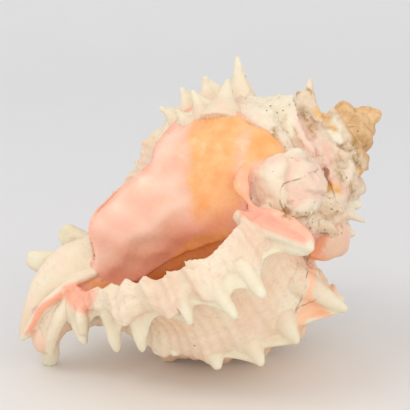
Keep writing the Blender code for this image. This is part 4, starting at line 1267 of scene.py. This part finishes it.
# Painted glow: a warm orange laid into the shade of the hollow behind the lip's rib, and between the next two
# ribs, where light shines through the thin shell.
recess = ramp(theta, math.radians(16), math.radians(24)) * ramp(theta, math.radians(44), math.radians(34))
strip = ramp(theta, math.radians(57), math.radians(64)) * ramp(theta, math.radians(112), math.radians(96))
painted_warm_glow = np.clip(0.35 * recess + 0.5 * strip, 0, 1) * mark["outside"] * (1 - tips)
old = np.maximum(ramp(height, -31, -24), 0.5 * mark["knob"]) * (1 - callus)
old = np.maximum(old, 0.8 * area(PITTED, flat, 2.0) * facing) * (1 - 0.8 * crusted)
store_colour(shell_mesh, "tints", pink, painted_warm_glow, old)
print("pink parts:", round(float((pink > 0.3).mean()), 3), "of the points")

# %% White, rosy and ochre marks on the old part
WHITE_KNOB = (
    (-9.5, -15.8), (-9.6, -12.9), (-6.2, -13), (-2, -16.1), (-3.5, -18.8), (-7.3, -18.1),
)
CREAM_SPINES = (
    (13.6, -21.6), (16.5, -19), (20.6, -19.2), (23.5, -21.6), (21.4, -25.3), (16.5, -24),
)
FOLD_FACE = (
    (-26.4, -38), (-27.3, -33.3), (-23.2, -21.6), (-19.1, -21.8), (-12.5, -25.8), (-8.5, -29.8),
    (-13, -32.9), (-18.6, -34.7),
)
SMOOTH_BAND = (
    (-17.8, -23.9), (-13.8, -22.3), (-8.2, -21.6), (-3, -22.8), (0.9, -25.3), (-2.7, -28.5),
    (-9.3, -27.9),
)
RIGHT_PETAL = (
    (-2.7, -27.4), (-0.5, -25.3), (4, -26.4), (7.8, -28.6), (9.2, -32.1), (5.5, -32.7), (0.6, -30.6),
)
ROSETTE_RIM = (
    (-7, -46), (-9.4, -42.5), (-8.7, -38.2), (-6.6, -34.4), (-3.8, -31.9), (-4, -34.1), (-6.7, -39.4),
    (-6.6, -43.5), (-2.8, -47.6),
)
ROSY_LINES = (
    ((-3.3, -21.1), (-0.9, -21.8), (1.6, -22.5)),
    ((1.8, -25), (6.5, -25.2), (11.6, -22.3)),
    ((11.8, -40.7), (15.9, -39.6), (19.7, -37.6)),
)
OCHRE_SPOTS = (
    ((-7.7, -16.3), (-6.9, -16)),
    ((7.9, -14.8), (9.2, -14.4)),
    ((8, -26.9), (9.8, -25.5), (10.6, -24)),
    ((-13.7, -17.6), (-10.9, -16.4)),
)
ragged = flat + 0.9 * np.stack([noise(spot, 2.6, 51), noise(spot, 2.6, 53)], 1)
white = np.maximum(area(WHITE_KNOB, ragged, 2.0), 0.7 * area(CREAM_SPINES, ragged, 2.5)) * facing
white = np.maximum(white, 0.6 * area(FOLD_FACE, ragged, 2.5) * facing * (1 - callus))
knob = mark["knob"] * (1 - callus)
white = np.maximum(white, 0.6 * knob * ramp(noise(spot, 8.0, 57), -0.8, 0.2))
rosy = np.maximum(0.9 * strokes(ROSY_LINES, ragged, 2.6), 0.55 * area(SMOOTH_BAND, ragged, 3.0))
rosy = np.maximum(rosy, 0.5 * np.maximum(area(RIGHT_PETAL, ragged, 3.0), area(ROSETTE_RIM, ragged, 3.0)))
rosy = np.maximum(rosy, 0.6 * knob * ramp(petals(spot), 0.3, 0.0) * ramp(front, 22, 28))
rosy = rosy * facing * (1 - callus)
ochre = np.clip(1.3 * strokes(OCHRE_SPOTS, ragged, 1.9), 0, 0.8) * facing * (1 - callus)
store_colour(shell_mesh, "marks", white, rosy, ochre)
print("white marks:", round(float((white > 0.3).mean()), 3), "of the points")

# %% [markdown]
# ## Cracks, pores, dirt and painted shade
#
# Old shells crack, and the knob and spire carry fine dark lines. A crack is far thinner than the distance
# between two points of the mesh, so a mask with 1 on it would show as dashes. What is kept instead is the
# distance to the crack with a sign, which runs evenly from one point to the next. The material then draws
# the line where that value crosses its middle, as thin as it likes.
# Dark brown goes into the creases, gaps and hollows of the old part too: partly dirt, and partly painted
# shade where little light reaches.

# %% Cracks, pores, dirt and painted shade
CRACKS = (
    ((22.9, -41.6), (26, -44.4), (29.6, -47.1), (33.4, -51.2), (35.1, -53.5), (34.7, -51.3),
     (35.4, -47.6)),
    ((1.5, -26.6), (1, -33.7), (0, -38.5), (1.2, -40.5), (5.1, -42.4), (8.7, -42.7)),
    ((7.8, -39.5), (10.8, -39.5), (12.1, -37.2)),
    ((17, -35.9), (18.8, -35.2), (20.9, -31.9)),
    ((16.7, -83.4), (20.1, -83.3), (23.2, -82.6)),
    ((2.8, -25), (6.4, -25.9), (11, -26.4)),
    ((-1.3, -11.4), (1.6, -12.6)),
    ((3.5, -15), (6.5, -15.2)),
    ((-5, -11.1), (-3.9, -9.6)),
    ((-16.5, -21.4), (-14.2, -22.3)),
)
# A gap beside the spire's fold, painted dark olive brown as painted shade.
SHADED_GAP = (
    (-18.7, -21.4), (-17.4, -19), (-12.7, -19.5), (-8.4, -20.5), (-7.1, -23.3), (-11.7, -23.9),
)
# Hollows of the old part, painted dark brown as dirt and as painted shade.
BROWN_HOLLOWS = (
    ((0.2, -12), (2.8, -13.1), (6.1, -14.7)),
    ((-16.4, -21.8), (-13.1, -22.2), (-10, -22.9)),
    ((-14.9, -32.5), (-13.4, -33)),
    ((7.3, -42.8), (9, -42.1), (6.4, -41.3), (6, -39.7)),
    ((10.7, -39.1), (12.3, -36.9), (11.6, -35.2)),
    ((10.7, -20.2), (13.8, -21.3)),
    ((5.2, -21.3), (7.7, -22.3)),
)


def signed_lines(lines, flat):
    """Signed distance to the nearest of the open lines: the sign says on which side of its piece a point is.

    A line drawn where this passes through 0 stays thin and sharp, even between widely spaced points.
    """
    best, sign = np.full(len(flat), 1e9), np.ones(len(flat))
    for line in lines:
        for a, b in zip(np.array(line[:-1], float), np.array(line[1:], float)):
            way = b - a
            t = np.clip((flat - a) @ way / (way @ way), 0, 1)
            away = np.linalg.norm(flat - a - t[:, None] * way, axis=1)
            nearer = away < best
            best[nearer] = away[nearer]
            cross = way[0] * (flat[:, 1] - a[1]) - way[1] * (flat[:, 0] - a[0])
            sign[nearer] = np.where(cross[nearer] > 0, 1, -1)
    return best * sign


crack = signed_lines(CRACKS, flat + 0.35 * np.stack([noise(spot, 2.0, 61), noise(spot, 2.0, 63)], 1))
scar = np.clip(1.4 - np.abs(crack) / 1.6, 0, 1) * facing
clusters = ramp(noise(spot, 7.0, 77), -0.2, 0.6)
pores = (0.04 + 0.3 * ramp(height, -60, -35)) * clusters + 0.7 * area(PITTED, flat, 2.0) * facing
pores = (pores + 0.25 * area(FOLD_FACE, flat, 2.0) * facing) * (1 - callus) * (1 - channel_area)
# Creases of the worn relief are darkened, as dirt and as painted shade in them.
low = ramp(crease_height(spot), 0.30, 0.08) * ramp(noise(spot, 9.0, 83), -0.5, 0.3)
dirt_and_shade = low * np.maximum(ramp(height, -34, -22), 0.8 * area(PITTED, flat, 2.0)) * (1 - callus)
dirt_and_shade = np.maximum(dirt_and_shade, 0.5 * area(SHADED_GAP, flat, 2.5) * facing * (1 - tips))
dirt_and_shade = np.maximum(dirt_and_shade, 1.1 * strokes(BROWN_HOLLOWS, ragged, 1.9) * facing)
store_colour(shell_mesh, "wear", scar, np.clip(pores, 0, 1), dirt_and_shade)
store_colour(shell_mesh, "growth", mark["share"], mark["theta"], 0.5 + np.clip(crack, -4, 4) / 8)
store_colour(shell_mesh, "sheen", painted_shield_light, bulge_shade)
print("dirty parts:", round(float((dirt_and_shade > 0.3).mean()), 3), "of the points")

# %% [markdown]
# ## The shell's material
#
# The outside of a murex is a chalky cream with warm stains between the spiral threads. The shield and the
# mouth are glazed: salmon pink at the rims and orange towards the middle. The tip of the spire is tan and
# rough. Each could be a material of its own, but on the shell they run into each other. So it is one
# material, which lays its colours over each other in thin washes, each through a painted mask or a cloud of
# noise. Some washes are painted light: a warm glow and highlights, and shade in creases, grooves, valleys and
# hollows.

# %% Node helpers
def node_tree(name):
    """A new material with its Principled shader and its node tree."""
    material = bpy.data.materials.new(name)
    material.use_nodes = True
    tree = material.node_tree
    return material, tree, tree.nodes["Principled BSDF"]


class Desk:
    """Places nodes in a tree and joins their sockets in short calls."""

    def __init__(self, tree):
        self.tree = tree
        self.count = 0

    def put(self, kind, **settings):
        """A new node of a kind, laid out in rows of twelve."""
        node = self.tree.nodes.new(kind)
        node.location = (180 * (self.count % 12) - 2400, -260 * (self.count // 12))
        self.count += 1
        for name, value in settings.items():
            setattr(node, name, value)
        return node

    def feed(self, socket, value):
        """Join an output to a socket, or set a constant on it."""
        if isinstance(value, bpy.types.NodeSocket):
            self.tree.links.new(value, socket)
        else:
            socket.default_value = value

    def maths(self, operation, *values, clamp=False):
        """One sum, difference, product or the like of two values."""
        node = self.put("ShaderNodeMath", operation=operation, use_clamp=clamp)
        for socket, value in zip(node.inputs, values):
            self.feed(socket, value)
        return node.outputs[0]

    def mix(self, share, first, second):
        """The first colour where the share is 0, the second where it is 1."""
        node = self.put("ShaderNodeMix", data_type="RGBA")
        self.feed(node.inputs[0], share)
        self.feed(node.inputs[6], first)
        self.feed(node.inputs[7], second)
        return node.outputs[2]

    def spread(self, value, low, high, out_low=0.0, out_high=1.0):
        """A smooth S from out_low at the low value to out_high at the high one."""
        node = self.put("ShaderNodeMapRange", interpolation_type="SMOOTHSTEP")
        for socket, entry in zip(node.inputs, (value, low, high, out_low, out_high)):
            self.feed(socket, entry)
        return node.outputs[0]

    def cloud(self, where, scale, detail=3.0, rough=0.55):
        """Noise from 0 to 1, with a number of cells to a metre given by its scale."""
        node = self.put("ShaderNodeTexNoise")
        self.feed(node.inputs["Vector"], where)
        node.inputs["Scale"].default_value = scale
        node.inputs["Detail"].default_value = detail
        node.inputs["Roughness"].default_value = rough
        return node.outputs["Fac"]

    def attribute(self, name):
        """The colour attribute of that name."""
        return self.put("ShaderNodeAttribute", attribute_name=name).outputs["Color"]


def rgb(*values):
    """A colour as Blender's sockets take it, with its alpha."""
    return (*values, 1.0)


print("node helpers:", [name for name in vars(Desk) if not name.startswith("_")])

# %% The painted masks
shell_look, tree, surface = node_tree("shell_glaze_and_chalk")
desk = Desk(tree)
places = desk.put("ShaderNodeTexCoord").outputs["Object"]


def masks(title):
    """The three masks that are kept in one colour attribute."""
    node = desk.put("ShaderNodeSeparateColor")
    desk.feed(node.inputs[0], desk.attribute(title))
    return node.outputs[:3]


callus, orange, crusted = masks("zones")
hollow, tips, cream = masks("kinds")
pink, painted_warm_glow, old = masks("tints")
scar, pores, dirt_and_shade = masks("wear")
white, rosy, ochre = masks("marks")
painted_shield_light, bulge_shade = masks("sheen")[:2]
along, back_from_lip, crack_side = masks("growth")
print("masks are ready:", len(tree.nodes), "nodes")

# %% Clouds, growth lines and cords
# Cells to a metre: wide clouds are about 17 mm across, middling ones 5 mm and fine ones under 2 mm.
wide_cloud = desk.cloud(places, 60.0, 3.0)
mid_cloud = desk.cloud(places, 190.0, 3.0, 0.6)
fine_cloud = desk.cloud(places, 620.0, 4.0, 0.65)


def along_growth(back_scale, along_scale):
    """A place made of theta and the share of the outline, each times its own scale."""
    node = desk.put("ShaderNodeCombineXYZ")
    desk.feed(node.inputs[0], desk.maths("MULTIPLY", back_from_lip, back_scale))
    desk.feed(node.inputs[1], desk.maths("MULTIPLY", along, along_scale))
    return node.outputs[0]


growth_lines = desk.cloud(along_growth(90.0, 5.0), 5.0, 3.0, 0.6)
cords = desk.cloud(along_growth(6.0, 120.0), 1.0, 2.0, 0.5)
print("with clouds:", len(tree.nodes), "nodes")

# %% Washes of colour
def washed(base, *washes):
    """The base with washes laid over it in turn, each (mask, strength, colour): it covers mask x strength."""
    for mask, strength, paint in washes:
        base = desk.mix(mask if strength == 1 else desk.maths("MULTIPLY", mask, strength), base, paint)
    return base


def mottled(cloud, low, high, first, second):
    """Two colours, the second where the cloud is high."""
    return desk.mix(desk.spread(cloud, low, high), rgb(*first), rgb(*second))


chalk = mottled(wide_cloud, 0.35, 0.65, (0.84, 0.62, 0.45), (0.87, 0.75, 0.56))
fleck_amount = desk.spread(wide_cloud, 0.4, 0.6, 0.2, 0.6)
flecks = desk.maths("MULTIPLY", desk.spread(fine_cloud, 0.54, 0.68), fleck_amount)
horn_colour = mottled(mid_cloud, 0.35, 0.65, (0.78, 0.68, 0.47), (0.84, 0.79, 0.62))
worn_chalk = mottled(mid_cloud, 0.35, 0.65, (0.74, 0.55, 0.38), (0.87, 0.73, 0.56))
chalk = washed(
    chalk,
    (desk.spread(mid_cloud, 0.45, 0.7), 0.45, rgb(0.91, 0.68, 0.55)),
    (desk.spread(growth_lines, 0.5, 0.75), 0.4, rgb(0.74, 0.52, 0.34)),
    (desk.spread(cords, 0.55, 0.8), 0.3, rgb(0.90, 0.78, 0.62)),
    (flecks, 1, rgb(0.78, 0.52, 0.38)),
    # painted glow: warm orange in the shade behind the lip's rib and between the next two ribs
    (painted_warm_glow, 0.8, rgb(0.92, 0.55, 0.31)),
    (cream, 1, rgb(0.84, 0.76, 0.57)),
    (tips, 1, horn_colour),
    (old, 0.75, worn_chalk),
    (white, 1, rgb(0.86, 0.79, 0.62)),
    (rosy, 1, rgb(0.86, 0.52, 0.42)),
    (ochre, 1, rgb(0.86, 0.47, 0.12)),
)
print("with the chalky outside:", len(tree.nodes), "nodes")

# %% Glaze, tan tip and how they meet the chalk
glaze = washed(
    mottled(wide_cloud, 0.35, 0.65, (0.93, 0.43, 0.27), (0.95, 0.55, 0.40)),
    (desk.spread(mid_cloud, 0.5, 0.75), 0.25, rgb(0.95, 0.66, 0.48)),
    (orange, 1, mottled(mid_cloud, 0.3, 0.7, (0.95, 0.40, 0.13), (0.96, 0.50, 0.21))),
    # painted highlights on the shield, and its lower part painted paler against its shade
    (painted_shield_light, 0.6, rgb(0.97, 0.72, 0.57)),
)
tan = washed(
    mottled(mid_cloud, 0.3, 0.6, (0.60, 0.34, 0.14), (0.78, 0.50, 0.25)),
    (desk.spread(fine_cloud, 0.45, 0.65), 0.4, rgb(0.85, 0.62, 0.38)),
)
colour = washed(
    chalk,
    (callus, 1, glaze),
    # painted shade on the bulge: a darker warm tone
    (bulge_shade, 0.6, rgb(0.83, 0.55, 0.38)),
    # pink, with painted shade by the hollow, in grooves and in the shield's valleys
    (pink, 1, rgb(0.92, 0.40, 0.28)),
    (hollow, 1, rgb(0.97, 0.46, 0.18)),
    (crusted, 1, tan),
    # dark brown in creases, gaps and hollows: dirt and painted shade
    (desk.maths("MULTIPLY", dirt_and_shade, desk.spread(fine_cloud, 0.3, 0.6)), 1, rgb(0.43, 0.23, 0.06)),
)
print("with glaze and tan:", len(tree.nodes), "nodes")

# %% Specks and cracks
def spots(scale, size):
    """Round spots: 1 near the centre of each cell, and a random value for each cell to choose some by."""
    cells = desk.put("ShaderNodeTexVoronoi")
    desk.feed(cells.inputs["Vector"], places)
    cells.inputs["Scale"].default_value = scale
    near = desk.spread(cells.outputs["Distance"], size, 0.55 * size)
    lot = desk.put("ShaderNodeSeparateColor")
    desk.feed(lot.inputs[0], cells.outputs["Color"])
    return near, lot.outputs[0]


# The crack's value is 0.5 on the crack itself. Noise lets it fade in places, as real hairlines do.
CRACK_MIDDLE, CRACK_EDGE, CRACK_CORE = 0.5, 0.036, 0.012
near, lot = spots(520.0, 0.22)
speck = desk.maths("MULTIPLY", near, desk.maths("LESS_THAN", lot, desk.maths("MULTIPLY", pores, 0.6)))
beside_crack = desk.maths("ABSOLUTE", desk.maths("SUBTRACT", crack_side, CRACK_MIDDLE))
thin_line = desk.spread(beside_crack, CRACK_EDGE, CRACK_CORE)
faded = desk.spread(mid_cloud, 0.42, 0.58)
cracked = desk.maths("MULTIPLY", desk.maths("MULTIPLY", thin_line, faded), desk.spread(scar, 0.45, 0.7))
colour = washed(colour, (speck, 0.7, rgb(0.26, 0.15, 0.07)), (cracked, 0.6, rgb(0.34, 0.18, 0.07)))
desk.feed(surface.inputs["Base Color"], colour)
print("with specks and cracks:", len(tree.nodes), "nodes")

# %% [markdown]
# ## Gloss and fine relief
#
# The glaze is as smooth as china, while the chalk scatters light and the crust is rougher still. Roughness
# could be one number for each zone, but worn shell varies from place to place, so it comes from the fine
# cloud, less where the glaze is. Grain, growth lines and pores finer than the mesh are a bump in the
# shader, because they are too small to change the outline. On the glaze the bump fades out, and only its
# slow waves stay.

# %% Gloss and bump
dull = desk.spread(fine_cloud, 0.3, 0.7, 0.46, 0.62)
gloss = desk.maths("MAXIMUM", desk.maths("MAXIMUM", callus, pink), desk.maths("MULTIPLY", hollow, 0.9))
rough = desk.maths("SUBTRACT", dull, desk.maths("MULTIPLY", gloss, 0.26))
rough = desk.maths("ADD", rough, desk.maths("MULTIPLY", crusted, 0.2), clamp=True)
desk.feed(surface.inputs["Roughness"], rough)
matt = desk.maths("SUBTRACT", 1.0, desk.maths("MULTIPLY", gloss, 0.85))
ridged = desk.maths("MULTIPLY", growth_lines, desk.maths("SUBTRACT", 1.0, cream, clamp=True))
height = desk.maths("MULTIPLY", desk.maths("ADD", fine_cloud, ridged), matt)
height = desk.maths("ADD", height, desk.maths("MULTIPLY", mid_cloud, desk.maths("MULTIPLY", old, 2.5)))
height = desk.maths("ADD", height, desk.maths("MULTIPLY", wide_cloud, desk.maths("MULTIPLY", gloss, 1.6)))
height = desk.maths("SUBTRACT", height, desk.maths("MULTIPLY", speck, 1.2))
height = desk.maths("SUBTRACT", height, desk.maths("MULTIPLY", cracked, 1.5))
dents = desk.put("ShaderNodeBump")
dents.inputs["Strength"].default_value = 0.5
dents.inputs["Distance"].default_value = 0.0006
desk.feed(dents.inputs["Height"], height)
desk.feed(surface.inputs["Normal"], dents.outputs[0])
print("shell material:", len(tree.nodes), "nodes")

# %% The finished piece and the node that it stands for
shell_mesh.materials.clear()
shell_mesh.materials.append(shell_look)
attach(shell, "root")
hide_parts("shell")
print("materials on the shell:", [slot.name for slot in shell_mesh.materials])

# %% [markdown]
# ## The floor
#
# The shell was photographed on a pale sheet of paper that curves up behind it, so that no horizon shows. A
# plain plane would end in a line. So the floor is a strip carried along a path: flat, a quarter circle, and
# up. Close to the shell the paper catches warm light bounced off the shell, which is painted into the
# paper's colour as a soft warm ring.

# %% Floor
def sweep_floor(width=1.6, near=-0.8, far=0.7, rise=0.9, bend=0.35):
    """A strip carried along a path: flat, then a quarter circle up, then straight up."""
    flat = np.linspace(near, far - bend, 12)
    turn = np.linspace(0, math.pi / 2, 16)
    run = np.concatenate([flat, far - bend + bend * np.sin(turn[1:]), [far]])
    lift = np.concatenate([0 * flat, bend - bend * np.cos(turn[1:]), [rise]])
    across = np.linspace(-width / 2, width / 2, 8)
    grid = np.stack(np.broadcast_arrays(across[None, :], run[:, None], lift[:, None]), -1).reshape(-1, 3)
    rows, columns = len(run), len(across)
    index = np.arange(rows * columns).reshape(rows, columns)
    quads = np.stack([index[:-1, :-1], index[:-1, 1:], index[1:, 1:], index[1:, :-1]], -1).reshape(-1, 4)
    mesh = bpy.data.meshes.new("floor")
    mesh.from_pydata(grid.tolist(), [], quads.tolist())
    mesh.shade_smooth()
    return mesh


# Middle, outer and inner radius of the painted warm bounce light round the shell.
RING_MIDDLE, RING_EDGE, RING_CORE = (0.0, -0.03, 0.0), 0.095, 0.03

floor = linked("floor", sweep_floor())
paper, tree, surface = node_tree("pale_paper")
desk = Desk(tree)
floor_place = desk.put("ShaderNodeTexCoord").outputs["Object"]
grain = desk.cloud(floor_place, 30.0)
paper_colour = desk.mix(grain, rgb(0.725, 0.725, 0.735), rgb(0.745, 0.745, 0.755))
from_shell = desk.put("ShaderNodeVectorMath", operation="DISTANCE")
desk.feed(from_shell.inputs[0], floor_place)
from_shell.inputs[1].default_value = RING_MIDDLE
# painted bounce light: the paper warmer close to the shell
painted_bounce_light = desk.spread(from_shell.outputs["Value"], RING_EDGE, RING_CORE)
paper_colour = desk.mix(painted_bounce_light, paper_colour, rgb(0.80, 0.76, 0.72))
desk.feed(surface.inputs["Base Color"], paper_colour)
surface.inputs["Roughness"].default_value = 0.8
floor.data.materials.append(paper)
print("floor:", len(floor.data.polygons), "faces")

# %% [markdown]
# ## Light
#
# The light in a small studio comes from all round, with one box a little stronger. Lamps alone would leave
# the spines' shadows hard and dark. So the world gives most of the light, a soft box from above left gives
# the shadow its side, and two wide weak ones from the right and the front open up the hollows.

# %% Lights and world
def soft_light(name, at, towards, size, power):
    """A square area light at a place, facing a point."""
    data = bpy.data.lights.new(name, "AREA")
    data.size, data.energy = size, power
    at, towards = Vector(at), Vector(towards)
    turn = (at - towards).to_track_quat("Z", "Y").to_matrix().to_4x4()
    linked(name, data).matrix_world = Matrix.Translation(at) @ turn


soft_light("main_softbox", (-0.45, -0.25, 0.75), (0, 0, 0.03), 0.32, 1.1)
soft_light("right_fill", (0.7, -0.5, 0.4), (0, 0, 0.03), 0.7, 0.9)
soft_light("front_fill", (0, -0.8, 0.25), (0, 0, 0.05), 0.7, 1.15)
world = bpy.data.worlds.new("studio")
world.use_nodes = True
sky = world.node_tree.nodes["Background"]
sky.inputs["Color"].default_value = rgb(1.0, 0.985, 0.97)
sky.inputs["Strength"].default_value = 0.92
bpy.context.scene.world = world
bpy.context.scene.view_settings.view_transform = "Standard"

# %% [markdown]
# ## Camera
#
# The photo was taken from a little above the floor, so the camera looks down by the same angle that tips
# the shell's front up. It could be moved by eye until the picture fits, but the scale is known: how many
# millimetres a pixel covers, and at which pixel the apex lies. From these the middle of the view and the
# lens follow, and the object fills the frame as it does in the photo.

# %% Camera
MM_PER_PIXEL = 0.312
PIXELS = 410
DISTANCE = 0.6
SENSOR = 36
APEX_PIXEL = (386.9, 124.3)
right = Vector((1, 0, 0))
up = Vector((0, math.sin(FRONT_TIP), math.cos(FRONT_TIP)))
to_viewer = Vector((0, -math.cos(FRONT_TIP), math.sin(FRONT_TIP)))
across, down = (PIXELS / 2 - pixel for pixel in APEX_PIXEL)
middle = APEX_AT + (right * across - up * down) * MM_PER_PIXEL * MM
eye = bpy.data.cameras.new("camera")
eye.sensor_width = SENSOR
eye.lens = SENSOR * DISTANCE / (PIXELS * MM_PER_PIXEL * MM)
camera = linked("camera", eye)
turn = Matrix((right, up, to_viewer)).transposed().to_4x4()
camera.matrix_world = Matrix.Translation(middle + to_viewer * DISTANCE) @ turn
bpy.context.scene.camera = camera
print("lens:", round(eye.lens, 1), "mm")

# %% [markdown]
# ## The end
#
# The finished shell must not grow past the solid by more than a little.
